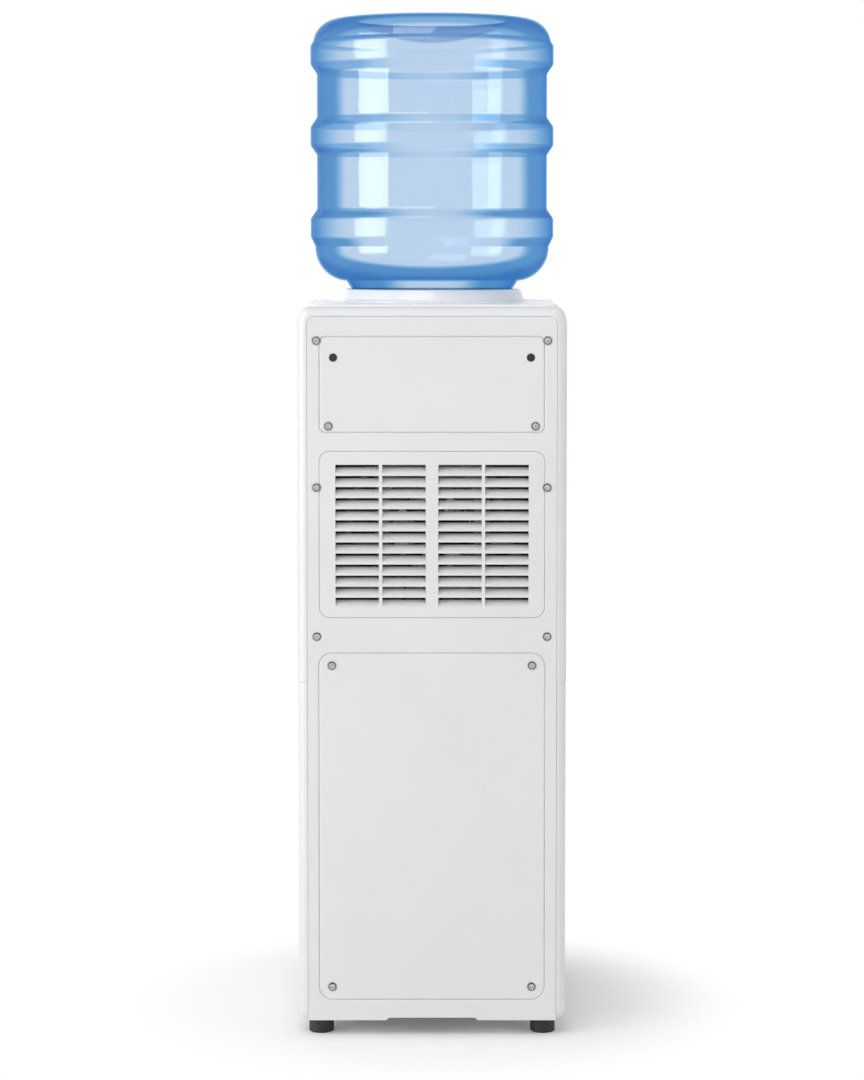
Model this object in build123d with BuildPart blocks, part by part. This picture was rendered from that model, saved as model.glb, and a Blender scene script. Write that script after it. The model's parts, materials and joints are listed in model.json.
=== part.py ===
from build123d import *

import math
import os

# Top-loading water dispenser: a two-part plastic cabinet on rubber feet, an upturned water
# bottle on top, two lever taps in a recess at the front and a screwed panel at the back.
# +Z is up, the front faces -Y, the back faces +Y. The origin is on the floor, under the middle.
# All sizes are in millimetres.

os.makedirs("parts", exist_ok=True)

# Cabinet
cabinet_width = 290.0
cabinet_depth = 320.0
cabinet_height = 774.4
lower_housing_height = 369.0
housing_wall = 2.5
shoulder_side_radius = 36.0
shoulder_top_radius = 10.5
shoulder_blend = 24.3
bottom_corner_radius = 11.0
edge_radius = 10.0
lower_step = 0.4
seam_chamfer = 0.6
tongue_thickness = 2.0
tongue_height = 8.0
tongue_play = 0.2
rear_opening_margin = 45.0
rear_bar_height = 22.0
rear_top_bar = 17.0
top_opening_side_margin = 20.0
top_opening_end_margin = 22.0
top_opening_radius = 8.0

# Feet and base
foot_height = 17.6
foot_radius = 13.5
foot_side_margin = 24.2
foot_end_margin = 26.0
foot_edge_round = 1.5
foot_recess_radius = 6.0
foot_recess_depth = 6.0
floor_opening_side_margin = 50.0
floor_opening_end_margin = 42.0
base_plate_thickness = 2.0
base_plate_margin = 13.0
notch_width = 99.0
notch_height = 2.8
notch_angle = 45.0
notch_depth = 44.0

# Screws, all with the same shape of pan head
screw_radius = 2.0
screw_length = 12.0
foot_screw_length = 19.0
screw_head_radius = 4.0
screw_head_height = 2.4
cross_length_share = 1.15
cross_width_share = 0.28
cross_depth_share = 0.58
screw_play = 0.3
thread_play = 0.05
screw_recess_radius = 5.0
screw_recess_depth = 1.0
boss_radius = 4.5
boss_length = 8.0

# Rear panel with its two covers and its grille
panel_thickness = 3.5
panel_land = 0.5
panel_corner_radius = 9.0
panel_gap = 0.3
cover_thickness = 2.0
cover_gap = 0.4
cover_ledge = 8.0
pad_radius = 7.5
groove_chamfer = 1.2
faint_groove_chamfer = 0.6
upper_cover_drop = 32.6
upper_cover_margin = 24.4
upper_cover_height = 102.3
upper_cover_radius = 6.0
grille_drop = 20.6
grille_margin = 24.0
grille_height = 179.2
grille_radius = 11.0
lower_cover_drop = 38.9
lower_cover_rise = 22.8
lower_cover_margin = 23.3
lower_cover_radius = 14.0
panel_screw_margin = 21.0
top_screw_drop = 3.9
middle_screw_drop = 38.8
low_screw_rise = 18.3
upper_cover_screw_margin = 9.4
upper_cover_screw_rise = 6.6
lower_cover_screw_margin = 13.8
lower_cover_screw_drop = 13.1
lower_cover_screw_rise = 14.1
plug_margin = 14.6
plug_drop = 22.0
plug_radius = 4.35
plug_stem_radius = 3.5
plug_stem_length = 2.6
plug_head_height = 0.8
plug_proud_share = 1 / 3
plug_hole_chamfer = 0.7
plug_play = 0.1

# Louvres
louvre_rows = 13
louvre_pitch = 11.95
louvre_top_drop = 14.2
louvre_height = 9.7
louvre_side_margin = 17.15
louvre_columns = 4
louvre_rib = 3.7
louvre_middle_bar = 13.5
slat_depth = 7.5
slat_rise = 6.5
slat_thickness = 1.2

# Top cover, collar and funnel
top_cover_side_margin = 10.0
top_cover_end_margin = 10.5
top_cover_edge_height = 2.0
top_cover_crown = 2.2
top_cover_corner_radius = 12.0
top_cover_round = 1.5
top_cover_rib_height = 6.0
top_cover_rib_thickness = 2.0
top_cover_play = 0.5
top_hole_radius = 82.0
collar_seat_rise = 1.0
collar_seat_play = 0.4
collar_flange_radius = 110.0
collar_flange_height = 3.9
collar_low_radius = 103.6
collar_top_radius = 98.6
collar_height = 16.0
collar_wall = 5.0
collar_round = 1.5
same_level = 0.01
funnel_brim_radius = 100.5
funnel_brim_thickness = 2.0
funnel_wall = 2.5
funnel_floor_drop = 86.0
seat_gap = 0.3
socket_gap = 1.5

# Bottle, upside down
bottle_wall = 1.3
neck_radius = 27.5
neck_length = 45.0
neck_drop = 69.0
shoulder_radius = 84.0
shoulder_rise = 31.0
step_radius = 96.0
step_rise = 19.0
dome_middle_radius = 121.0
dome_middle_rise = 12.3
dome_radius = 130.7
dome_rise = 38.5
band_radius = 135.8
band_flat = 20.5
band_slope = 10.5
waist_radius = 128.6
lower_waist = 60.5
upper_waist = 48.5
band_round = 5.0
crown_step_radius = 132.6
crown_step_rise = 5.0
crown_middle_radius = 125.0
crown_middle_rise = 15.7
crown_radius = 104.0
crown_rise = 24.1
punt_radius = 88.0
punt_depth = 24.0
cap_wall = 2.0
cap_skirt_length = 18.0
cap_tube_radius = 10.5
cap_tube_wall = 1.8
cap_tube_length = 39.0

# Feed spike between the bottle and the cold tank
spike_radius = 7.0
spike_bore_radius = 4.5
spike_height = 51.0
spike_tip_height = 7.0
spike_tip_radius = 3.5
spike_inlet_radius = 2.5
spike_base_radius = 16.0
spike_base_thickness = 3.0
spike_tail_length = 17.0

# Cold tank
tank_front_gap = 15.5
tank_drop = 102.0
tank_height = 180.0
tank_wall = 1.0
tank_edge_round = 6.0
tank_flange_width = 7.0
lid_thickness = 3.0
lid_spigot_height = 3.0
lid_socket_height = 8.0
lid_socket_wall = 4.5
lid_vent_radius = 2.0
lid_vent_share = 0.6
insulation_thickness = 14.0
insulation_floor = 16.0
insulation_gap = 0.2
baffle_thickness = 3.0
baffle_rise = 129.0
baffle_play = 1.0
baffle_tube_radius = 7.0
baffle_tube_bore = 5.0
baffle_tube_share = 0.6
baffle_leg_radius = 3.0
shelf_thickness = 2.0
shelf_front_gap = 3.5
shelf_rear_margin = 62.0
shelf_lip = 10.0
shelf_play = 0.5
shelf_window_offset = 2.0
shelf_window_width = 28.0
shelf_window_margin = 7.0
rail_width = 10.0
rail_height = 5.0

# Cooling unit on the cold tank's back
block_width = 60.0
block_height = 50.0
block_rear_margin = 80.0
block_reach = 2.0
paste_gap = 0.05
peltier_size = 40.0
peltier_thickness = 3.8
sink_size = 92.0
sink_base = 6.0
fin_height = 28.0
fin_thickness = 1.5
fan_hole_spacing = 82.5
fin_gaps_between_screws = 15
fan_size = 92.0
fan_depth = 25.0
fan_bore_radius = 43.5
fan_blade_radius = 41.5
fan_hub_radius = 16.0
fan_blades = 7
fan_blade_thickness = 1.6
fan_blade_chord = 18.0
fan_blade_pitch = 50.0
fan_rotor_gap = 0.5
fan_shaft_radius = 2.0
fan_strut_width = 5.0
fan_strut_depth = 4.0
fan_corner_round = 4.0
fan_screw_radius = 1.9
fan_screw_head_radius = 3.4
fan_screw_head_height = 2.2
fan_screw_reach = 10.0
sink_screw_spacing = 50.0
sink_screw_length = 19.0
sink_screw_clearance = 1.0
bearing_play = 0.05

# Hot tank
hot_tank_share = 0.9
hot_tank_height = 106.0
hot_insulation_thickness = 10.0
hot_tank_drop = 24.0
bracket_thickness = 2.0
bracket_width = 40.0
bracket_flange = 15.0
bracket_play = 1.0
bracket_hole_radius = 14.0
heater_flange_radius = 16.0
heater_flange_thickness = 3.0
heater_rod_radius = 3.5
heater_bend_radius = 9.0
heater_reach = 80.0
heater_terminal_radius = 1.5
heater_terminal_length = 6.0
thermostat_radius = 8.0
thermostat_height = 7.0
thermostat_spacing = 40.0

# Water tubes and the ports they are pushed on
port_radius = 4.0
port_bore = 2.8
port_length = 10.0
port_play = 0.05
tube_radius = 6.0
tube_clearance = 1.0
port_rise = 12.0
port_share = 0.44
tube_bend = 14.0
tube_wide_bend = 30.0
tube_side_gap = 29.0
tube_front_gap = 31.5
tube_low_rise = 40.0
tube_hot_rise = 52.0

# Dispensing recess
alcove_side_margin = 40.0
alcove_height = 280.0
alcove_drop = 88.0
alcove_top_radius = 18.0
alcove_bottom_radius = 6.0
alcove_depth = 92.0
alcove_wall = 2.5
alcove_flange = 10.0
alcove_flange_thickness = 2.0
opening_round = 1.5

# Drip tray
tray_gap = 0.5
tray_height = 26.0
tray_wall = 2.0
tray_round = 4.0
tray_scoop_width = 50.0
tray_scoop_depth = 12.0
drip_grille_thickness = 2.5
drip_grille_gap = 0.5
drip_ledge = 3.0
drip_slots = 17
drip_slot_pitch = 11.0
drip_slot_width = 5.0
drip_slot_margin = 10.0

# Taps
tap_spacing = 120.0
tap_reach = 45.0
tap_drop = 82.0
barrel_radius = 12.0
barrel_bore = 8.5
barrel_above = 18.0
barrel_below = 22.0
barrel_floor = 4.0
nozzle_radius = 6.5
nozzle_bore = 4.0
nozzle_length = 22.0
arm_radius = 8.0
tap_flange_radius = 14.0
tap_flange_thickness = 3.0
tail_play = 0.3
tail_length = 10.5
barb_length = 9.5
tube_end_gap = 0.5
nut_flats = 24.0
nut_thickness = 7.0
bonnet_wall = 1.5
bonnet_overlap = 10.0
bonnet_roof = 4.0
ear_gap = 8.0
ear_thickness = 2.5
ear_radius = 5.0
pivot_offset = 6.0
pivot_rise = 28.0
pivot_pin_radius = 1.5
stem_radius = 3.0
stem_play = 0.15
stem_plug_radius = 7.5
stem_plug_height = 8.0
stem_seat_gap = 0.1
stem_top_rise = 4.0
cross_pin_play = 0.25
cross_pin_travel = 0.62
cheek_gap = 4.0
cheek_width = 3.5
cheek_radius = 4.0
cheek_tail = 4.5
cheek_round = 2.0
bridge_offset = 7.0
lever_width = 22.0
lever_reach = 46.0
lever_flat_reach = 33.0
lever_thickness = 5.0
lever_rise = 6.0
lever_start = 14.5
lever_round = 1.2
tap_spring_radius = 5.6
tap_spring_thickness = 1.4
lock_length = 9.0
lock_width = 10.0
lock_height = 2.5
lock_shank_width = 4.0
lock_shank_length = 5.0
lock_foot_thickness = 1.5
lock_foot_overlap = 1.5
lock_gap = 0.3
lock_travel = 3.0
lock_offset = 22.5
lock_round = 0.8

# Control panel with its lamps and switches
control_side_margin = 50.0
control_height = 46.0
control_drop = 44.0
control_radius = 8.0
control_flange = 8.0
control_thickness = 2.5
switch_spacing = 120.0
bezel_width = 15.0
bezel_height = 22.0
bezel_thickness = 1.5
bezel_border = 2.0
bezel_overhang = 1.0
switch_depth = 16.0
switch_cavity_depth = 9.0
rocker_play = 0.4
rocker_length = 16.0
rocker_front = 3.6
rocker_rear = 0.4
rocker_round = 0.8
rocker_tilt = 8.0
rocker_pivot_depth = 2.9
rocker_hub_radius = 2.2
rocker_pin_radius = 1.0
rocker_pin_reach = 0.8
terminal_width = 4.0
terminal_thickness = 0.8
terminal_length = 8.0
terminal_levels = (-5.0, 5.0)
lamp_radius = 2.5
lamp_spacing = 20.0
lamp_length = 9.0
lamp_proud = 1.5
lamp_play = 0.1
lamp_flange_radius = 3.6
lamp_flange_thickness = 1.2

# Power board and its leads
board_width = 130.0
board_depth = 100.0
board_thickness = 1.6
board_gap = 50.0
post_height = 10.0
post_radius = 3.5
post_inset = 6.0
transformer_size = (44.0, 40.0, 34.0)
transformer_place = (-36.0, 18.0)
capacitor_radius = 8.0
capacitor_height = 24.0
capacitor_places = [(-30.0, -22.0), (54.0, -33.0)]
relay_size = (19.0, 15.0, 15.0)
relay_places = [(38.0, 8.0), (36.0, -18.0)]
terminal_block_size = (40.0, 10.0, 12.0)
component_margin = 1.0
lead_radius = 1.2
lead_bend = 12.0
lead_side_margin = 19.0
lead_front_margin = 42.0
lead_pitch = 5.0
lead_level = 40.0
lead_high_level = 70.0
board_lead_gap = 26.0
fan_lead_x = 30.0
thermostat_lead_x = 60.0
board_pin_radius = 1.5
board_pin_height = 1.5
board_pin_play = 0.1

# Cord inlet in the base
gland_rear_margin = 32.0
gland_bore = 3.8
gland_body_radius = 6.5
gland_flange_radius = 9.0
gland_flange_thickness = 2.0
gland_height = 12.0
gland_nut_flats = 17.0
gland_nut_thickness = 5.0

# Levels and planes that the sizes above give
cabinet_bottom = foot_height
cabinet_top = cabinet_bottom + cabinet_height
half_width = cabinet_width / 2
half_depth = cabinet_depth / 2
seam_z = cabinet_bottom + lower_housing_height
flange_y = half_depth - panel_thickness
flange_inner_y = flange_y - housing_wall
front_wall_y = -half_depth + housing_wall
floor_z = cabinet_bottom + housing_wall
panel_half_width = half_width - edge_radius - panel_land
panel_top = cabinet_top - edge_radius - panel_land
upper_cover_top = cabinet_top - upper_cover_drop
upper_cover_bottom = upper_cover_top - upper_cover_height
grille_top = upper_cover_bottom - grille_drop
grille_bottom = grille_top - grille_height
lower_cover_top = grille_bottom - lower_cover_drop
lower_cover_bottom = cabinet_bottom + lower_cover_rise
upper_cover_z = (upper_cover_top + upper_cover_bottom) / 2
grille_z = (grille_top + grille_bottom) / 2
lower_cover_z = (lower_cover_top + lower_cover_bottom) / 2
lower_cover_height = lower_cover_top - lower_cover_bottom
screw_seat_y = half_depth - screw_recess_depth
top_opening_width = cabinet_width - 2 * top_opening_side_margin
top_opening_depth = cabinet_depth - 2 * top_opening_end_margin
floor_opening_width = cabinet_width - 2 * floor_opening_side_margin
floor_opening_depth = cabinet_depth - 2 * floor_opening_end_margin
foot_spacing_x = cabinet_width - 2 * foot_side_margin
foot_spacing_y = cabinet_depth - 2 * foot_end_margin
panel_screw_spacing = cabinet_width - 2 * panel_screw_margin
upper_cover_width = cabinet_width - 2 * upper_cover_margin
upper_cover_screw_spacing = upper_cover_width - 2 * upper_cover_screw_margin
plug_spacing = upper_cover_width - 2 * plug_margin
grille_width = cabinet_width - 2 * grille_margin
louvre_bars_width = louvre_middle_bar + 2 * louvre_rib
louvre_width = (grille_width - 2 * louvre_side_margin - louvre_bars_width) / louvre_columns
lower_cover_width = cabinet_width - 2 * lower_cover_margin
lower_cover_screw_spacing = lower_cover_width - 2 * lower_cover_screw_margin
top_cover_width = cabinet_width - 2 * top_cover_side_margin
top_cover_depth = cabinet_depth - 2 * top_cover_end_margin
alcove_width = cabinet_width - 2 * alcove_side_margin
control_width = cabinet_width - 2 * control_side_margin
alcove_back_y = -half_depth + alcove_depth
alcove_outer_back_y = alcove_back_y + alcove_wall
gland_y = half_depth - gland_rear_margin

# The tank fills the room between the recess and the cooling unit
block_rear_y = half_depth - block_rear_margin
tank_front_y = alcove_outer_back_y + tank_front_gap
tank_radius = (block_rear_y - block_reach - tank_front_y) / 2 - insulation_thickness
tank_y = tank_front_y + insulation_thickness + tank_radius
tank_outer_radius = tank_radius + tank_wall
insulation_radius = tank_outer_radius + insulation_thickness
board_y = block_rear_y - board_gap
board_lead_y = block_rear_y - board_lead_gap
hot_tank_radius = tank_radius * hot_tank_share
port_offset = tank_radius * port_share
baffle_tube_x = tank_radius * baffle_tube_share
lid_vent_offset = tank_radius * lid_vent_share
shelf_front_y = alcove_outer_back_y + shelf_front_gap
shelf_rear_y = half_depth - shelf_rear_margin
tube_side_x = insulation_radius + tube_side_gap
tube_front_y = alcove_outer_back_y + tube_front_gap
shelf_window_depth = 2 * (tank_y - tube_front_y + shelf_window_margin)
lead_side_x = half_width - lead_side_margin
lead_front_y = -half_depth + lead_front_margin


# Helpers for drawing planes and plain shapes

upwards = (Align.CENTER, Align.CENTER, Align.MIN)


def rear_plane(y):
    # Drawing plane that faces the back: its x runs towards -X and its y upwards
    return Plane(origin=(0, y, 0), x_dir=(-1, 0, 0), z_dir=(0, 1, 0))


def front_plane(y):
    # Drawing plane that faces the front: its x runs towards +X and its y upwards
    return Plane(origin=(0, y, 0), x_dir=(1, 0, 0), z_dir=(0, -1, 0))


def side_plane(x):
    # Drawing plane that faces +X: its x runs towards +Y and its y upwards
    return Plane(origin=(x, 0, 0), x_dir=(0, 1, 0), z_dir=(1, 0, 0))


def block(low, high, mode=Mode.ADD):
    # Box between two opposite corners, in the piece being built
    size = [b - a for a, b in zip(low, high)]
    middle = tuple((a + b) / 2 for a, b in zip(low, high))
    with Locations(middle):
        Box(*size, mode=mode)


def pegs(points, plane_at, y, radius, length, mode=Mode.ADD):
    # Round pegs or holes at (x, z) points, from a plane at y towards the inside
    with BuildSketch(plane_at(y)) as circles:
        across = plane_at(y).x_dir.X
        with Locations(*[(across * x, z) for x, z in points]):
            Circle(radius)
    extrude(circles.sketch, amount=-length, mode=mode)


def rod(start, direction, radius, length, mode=Mode.ADD):
    # Round bar or hole from a point along a direction
    with BuildSketch(Plane(origin=start, z_dir=direction)) as section:
        Circle(radius)
    extrude(section.sketch, amount=length, mode=mode)


def bent_rod(points, bends, radius, mode=Mode.ADD):
    # Round bar or bore along straight runs joined by tangent bends
    with BuildLine() as route:
        FilletPolyline(*points, radius=bends)
    path = route.wire()
    with BuildSketch(Plane(origin=path @ 0, z_dir=path % 0)) as section:
        Circle(radius)
    sweep(section.sketch, path=path, mode=mode)


def save(piece, label):
    piece.part.label = label
    export_step(piece.part, f"parts/{label}.step")


def cabinet_form(side_inset, bottom_inset):
    # The cabinet's rounded block, drawn in at its sides and top, and at its bottom
    low = cabinet_bottom + bottom_inset
    edge = half_width - side_inset
    side_radius = shoulder_side_radius - side_inset
    top_radius = shoulder_top_radius - side_inset
    foot_corner = bottom_corner_radius - side_inset
    blend_drop = (shoulder_side_radius - shoulder_top_radius) * math.sin(math.radians(shoulder_blend))
    shoulder_z = cabinet_top - shoulder_top_radius - blend_drop
    with BuildPart() as form:
        with BuildSketch(rear_plane(half_depth - side_inset)):
            with BuildLine():
                floor_line = Line((0, low), (edge - foot_corner, low))
                corner = JernArc(floor_line @ 1, (1, 0), foot_corner, 90)
                side = Line(corner @ 1, (edge, shoulder_z))
                shoulder = JernArc(side @ 1, (0, 1), side_radius, shoulder_blend)
                brow = JernArc(shoulder @ 1, shoulder % 1, top_radius, 90 - shoulder_blend)
                Line(brow @ 1, (0, cabinet_top - side_inset))
                mirror(about=Plane.YZ)
            make_face()
        extrude(amount=2 * side_inset - cabinet_depth)
        rims = form.faces().filter_by(GeomType.PLANE).filter_by(Axis.Y).edges()
        fillet(rims, edge_radius - side_inset)
    return form.part


def pan_head_screw(head_radius, head_height, radius, shank_length):
    # Screw with a cross recess, its head's seat at the origin and its shank towards -Z
    with BuildPart() as screw:
        Cylinder(head_radius, head_height, align=upwards)
        fillet(screw.edges().filter_by(GeomType.CIRCLE).group_by(Axis.Z)[-1], head_height / 2)
        with BuildSketch(Plane.XY.offset(head_height)):
            Rectangle(head_radius * cross_length_share, head_radius * cross_width_share)
            Rectangle(head_radius * cross_width_share, head_radius * cross_length_share)
        extrude(amount=-head_height * cross_depth_share, mode=Mode.SUBTRACT)
        Cylinder(radius, shank_length, align=(Align.CENTER, Align.CENTER, Align.MAX))
        chamfer(screw.edges().filter_by(GeomType.CIRCLE).group_by(Axis.Z)[0], radius / 4)
    return screw.part


# Where the screws of the rear panel and its covers go, as (x, z)


def pair(spacing, z):
    return [(-spacing / 2, z), (spacing / 2, z)]


panel_screws = (
    pair(panel_screw_spacing, upper_cover_top - top_screw_drop)
    + pair(panel_screw_spacing, grille_top - middle_screw_drop)
    + pair(panel_screw_spacing, lower_cover_top + low_screw_rise)
)
upper_cover_screws = pair(upper_cover_screw_spacing, upper_cover_bottom + upper_cover_screw_rise)
lower_cover_screws = pair(
    lower_cover_screw_spacing, lower_cover_top - lower_cover_screw_drop
) + pair(lower_cover_screw_spacing, lower_cover_bottom + lower_cover_screw_rise)
plug_points = pair(plug_spacing, upper_cover_top - plug_drop)
rear_screw_points = panel_screws + upper_cover_screws + lower_cover_screws
upper_boss_points = [point for point in rear_screw_points if point[1] > seam_z]
lower_boss_points = [point for point in rear_screw_points if point[1] < seam_z]


# Upper housing: front, sides and top of the cabinet above the seam

alcove_top = cabinet_top - alcove_drop
alcove_bottom = alcove_top - alcove_height
alcove_z = (alcove_top + alcove_bottom) / 2
control_z = cabinet_top - control_drop
tank_top = cabinet_top - tank_drop
tank_bottom = tank_top - tank_height
shelf_top = tank_bottom - insulation_floor
shelf_bottom = shelf_top - shelf_thickness
rear_opening_half = half_width - rear_opening_margin


def alcove_outline(plane, extra):
    # Outline of the dispensing recess, grown by a wall or a flange
    with BuildSketch(plane) as outline:
        with Locations((0, alcove_z)):
            Rectangle(alcove_width + 2 * extra, alcove_height + 2 * extra)
        fillet(outline.vertices().group_by(Axis.Y)[-1], alcove_top_radius + extra)
        fillet(outline.vertices().group_by(Axis.Y)[0], alcove_bottom_radius + extra)
    return outline.sketch


def control_outline(plane, extra):
    # Outline of the control panel's window, grown by a flange
    with BuildSketch(plane) as outline:
        with Locations((0, control_z)):
            RectangleRounded(control_width + 2 * extra, control_height + 2 * extra, control_radius + extra)
    return outline.sketch


def panel_outline(plane, low, gap):
    # Outline of the rear panel from a height up to its rounded top, drawn in by a gap
    with BuildSketch(plane) as outline:
        with Locations((0, low)):
            Rectangle(
                2 * (panel_half_width - gap), panel_top - gap - low, align=(Align.CENTER, Align.MIN)
            )
        fillet(outline.vertices().group_by(Axis.Y)[-1], panel_corner_radius - gap)
    return outline.sketch


outer_form = cabinet_form(0, 0)
inner_form = cabinet_form(housing_wall, housing_wall)

with BuildPart() as upper_hollow:
    add(inner_form)
    block((-half_width, flange_inner_y, 0), (half_width, half_depth, cabinet_top), Mode.SUBTRACT)

with BuildPart() as upper_housing:
    add(outer_form)
    block((-half_width, -half_depth, 0), (half_width, half_depth, seam_z), Mode.SUBTRACT)
    seam_rim = upper_housing.faces().sort_by(Axis.Z)[0].outer_wire().edges()
    chamfer(seam_rim, seam_chamfer)
    add(upper_hollow.part, mode=Mode.SUBTRACT)
    extrude(
        panel_outline(rear_plane(half_depth), seam_z - panel_thickness, 0),
        amount=-panel_thickness,
        mode=Mode.SUBTRACT,
    )
    block(
        (-rear_opening_half, flange_inner_y - housing_wall, 0),
        (rear_opening_half, half_depth, panel_top - rear_top_bar),
        Mode.SUBTRACT,
    )
    block(
        (-grille_width / 2 + cover_ledge, flange_inner_y - housing_wall, grille_bottom + cover_ledge),
        (grille_width / 2 - cover_ledge, half_depth, grille_top - cover_ledge),
        Mode.SUBTRACT,
    )
    with BuildSketch(Plane.XY.offset(cabinet_top)):
        RectangleRounded(top_opening_width, top_opening_depth, top_opening_radius)
    extrude(amount=-2 * housing_wall, mode=Mode.SUBTRACT)
    extrude(alcove_outline(front_plane(-half_depth), 0), amount=-2 * housing_wall, mode=Mode.SUBTRACT)
    extrude(control_outline(front_plane(-half_depth), 0), amount=-2 * housing_wall, mode=Mode.SUBTRACT)
    front_openings = upper_housing.faces().filter_by(Axis.Y).sort_by(Axis.Y)[0].inner_wires()
    fillet(front_openings.edges(), opening_round)
    pegs(upper_boss_points, rear_plane, flange_inner_y, boss_radius, boss_length)
    pegs(upper_boss_points, rear_plane, flange_y, screw_radius + thread_play, boss_length + housing_wall,
         Mode.SUBTRACT)
    # rails along both sides that carry the tank shelf
    for side in (-1, 1):
        rail_middle = side * (half_width - housing_wall / 2 - rail_width / 2)
        block(
            (rail_middle - rail_width / 2, shelf_front_y, shelf_bottom - rail_height),
            (rail_middle + rail_width / 2, shelf_rear_y, shelf_bottom),
        )
save(upper_housing, "upper_housing")


# Lower housing: front, sides and floor below the seam, with a tongue up into the upper housing

lower_form = cabinet_form(lower_step, 0)
lower_inner_form = cabinet_form(lower_step + housing_wall, housing_wall)

with BuildPart() as lower_hollow:
    add(lower_inner_form)
    block((-half_width, flange_inner_y, 0), (half_width, half_depth, cabinet_top), Mode.SUBTRACT)

with BuildPart() as lower_housing:
    add(lower_form)
    block((-half_width, -half_depth, seam_z), (half_width, half_depth, cabinet_top), Mode.SUBTRACT)
    seam_rim = lower_housing.faces().sort_by(Axis.Z)[-1].outer_wire().edges()
    chamfer(seam_rim, seam_chamfer)
    add(lower_hollow.part, mode=Mode.SUBTRACT)
    # square lower back edge behind the rear panel
    panel_foot = half_width - lower_step - bottom_corner_radius
    block((-panel_foot, flange_inner_y - edge_radius, cabinet_bottom), (panel_foot, flange_y, floor_z))
    block((-panel_foot, flange_inner_y, cabinet_bottom), (panel_foot, flange_y, floor_z + rear_bar_height))
    block(
        (-panel_half_width, flange_y, 0), (panel_half_width, half_depth, cabinet_top), Mode.SUBTRACT
    )
    block(
        (-rear_opening_half, flange_inner_y - housing_wall, floor_z + rear_bar_height),
        (rear_opening_half, half_depth, cabinet_top),
        Mode.SUBTRACT,
    )
    with BuildSketch(Plane.XY):
        RectangleRounded(floor_opening_width, floor_opening_depth, top_opening_radius)
    extrude(amount=floor_z, mode=Mode.SUBTRACT)
    block(
        (-notch_width / 2, half_depth - notch_depth, 0),
        (notch_width / 2, half_depth, floor_z),
        Mode.SUBTRACT,
    )
    # tongue inside the seam, along the front and both sides
    tongue_inset = housing_wall + tongue_play
    with BuildSketch(Plane.XY.offset(seam_z - tongue_height)):
        RectangleRounded(
            cabinet_width - 2 * tongue_inset, cabinet_depth - 2 * tongue_inset, edge_radius - tongue_inset
        )
        offset(amount=-tongue_thickness, mode=Mode.SUBTRACT)
        with Locations((0, half_depth)):
            Rectangle(cabinet_width, 2 * edge_radius + 2 * housing_wall, mode=Mode.SUBTRACT)
    extrude(amount=2 * tongue_height)
    pegs(lower_boss_points, rear_plane, flange_inner_y, boss_radius, boss_length)
    pegs(lower_boss_points, rear_plane, flange_y, screw_radius + thread_play, boss_length + housing_wall,
         Mode.SUBTRACT)
    with Locations((0, 0, cabinet_bottom)):
        with GridLocations(foot_spacing_x, foot_spacing_y, 2, 2):
            Cylinder(screw_radius + screw_play, 4 * housing_wall, mode=Mode.SUBTRACT)
save(lower_housing, "lower_housing")


# Base plate inside the lower housing, with posts for the power board

base_top = floor_z + base_plate_thickness
board_bottom = base_top + post_height
board_top = board_bottom + board_thickness
base_front_y = -half_depth + base_plate_margin
base_rear_y = half_depth - edge_radius
board_pin_top = board_top + board_pin_height

with BuildPart() as base_plate:
    with BuildSketch(Plane.XY.offset(floor_z)):
        with Locations((0, (base_front_y + base_rear_y) / 2)):
            Rectangle(cabinet_width - 2 * base_plate_margin, base_rear_y - base_front_y)
        with GridLocations(foot_spacing_x, foot_spacing_y, 2, 2):
            Circle(screw_radius + thread_play, mode=Mode.SUBTRACT)
        with Locations((0, gland_y)):
            Circle(gland_body_radius + screw_play, mode=Mode.SUBTRACT)
    extrude(amount=base_plate_thickness)
    with Locations((0, board_y, base_top)):
        with GridLocations(board_width - 2 * post_inset, board_depth - 2 * post_inset, 2, 2):
            Cylinder(post_radius, post_height, align=upwards)
            Cylinder(board_pin_radius, board_pin_top - base_top, align=upwards)
save(base_plate, "base_plate")


# Four rubber feet under the lower housing, each held by a screw from below

with BuildPart() as rubber_feet:
    with GridLocations(foot_spacing_x, foot_spacing_y, 2, 2):
        Cylinder(foot_radius, foot_height, align=upwards)
    fillet(rubber_feet.edges().group_by(Axis.Z)[0], foot_edge_round)
    with GridLocations(foot_spacing_x, foot_spacing_y, 2, 2):
        CounterBoreHole(
            screw_radius + screw_play, foot_recess_radius, foot_height - foot_recess_depth, foot_height
        )
save(rubber_feet, "rubber_feet")

foot_screw = pan_head_screw(screw_head_radius, screw_head_height, screw_radius, foot_screw_length)
with BuildPart() as foot_screws:
    with Locations((0, 0, foot_recess_depth)):
        with GridLocations(foot_spacing_x, foot_spacing_y, 2, 2):
            add(foot_screw, rotation=(180, 0, 0))
save(foot_screws, "foot_screws")


# Gland in the base plate, where a mains cord would enter

with BuildPart() as cord_gland:
    flange_foot = (0, gland_y, floor_z - gland_flange_thickness)
    rod(flange_foot, (0, 0, 1), gland_flange_radius, gland_flange_thickness)
    rod((0, gland_y, floor_z), (0, 0, 1), gland_body_radius, gland_height)
    rod(flange_foot, (0, 0, 1), gland_bore, gland_flange_thickness + gland_height, Mode.SUBTRACT)
    with BuildSketch(Plane.XY.offset(base_top)):
        with Locations((0, gland_y)):
            RegularPolygon(gland_nut_flats / 2, 6, major_radius=False)
            Circle(gland_body_radius + thread_play, mode=Mode.SUBTRACT)
    extrude(amount=gland_nut_thickness)
save(cord_gland, "cord_gland")


# Rear panel: a flat plate with a pocket and a window for each cover and for the grille


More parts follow.
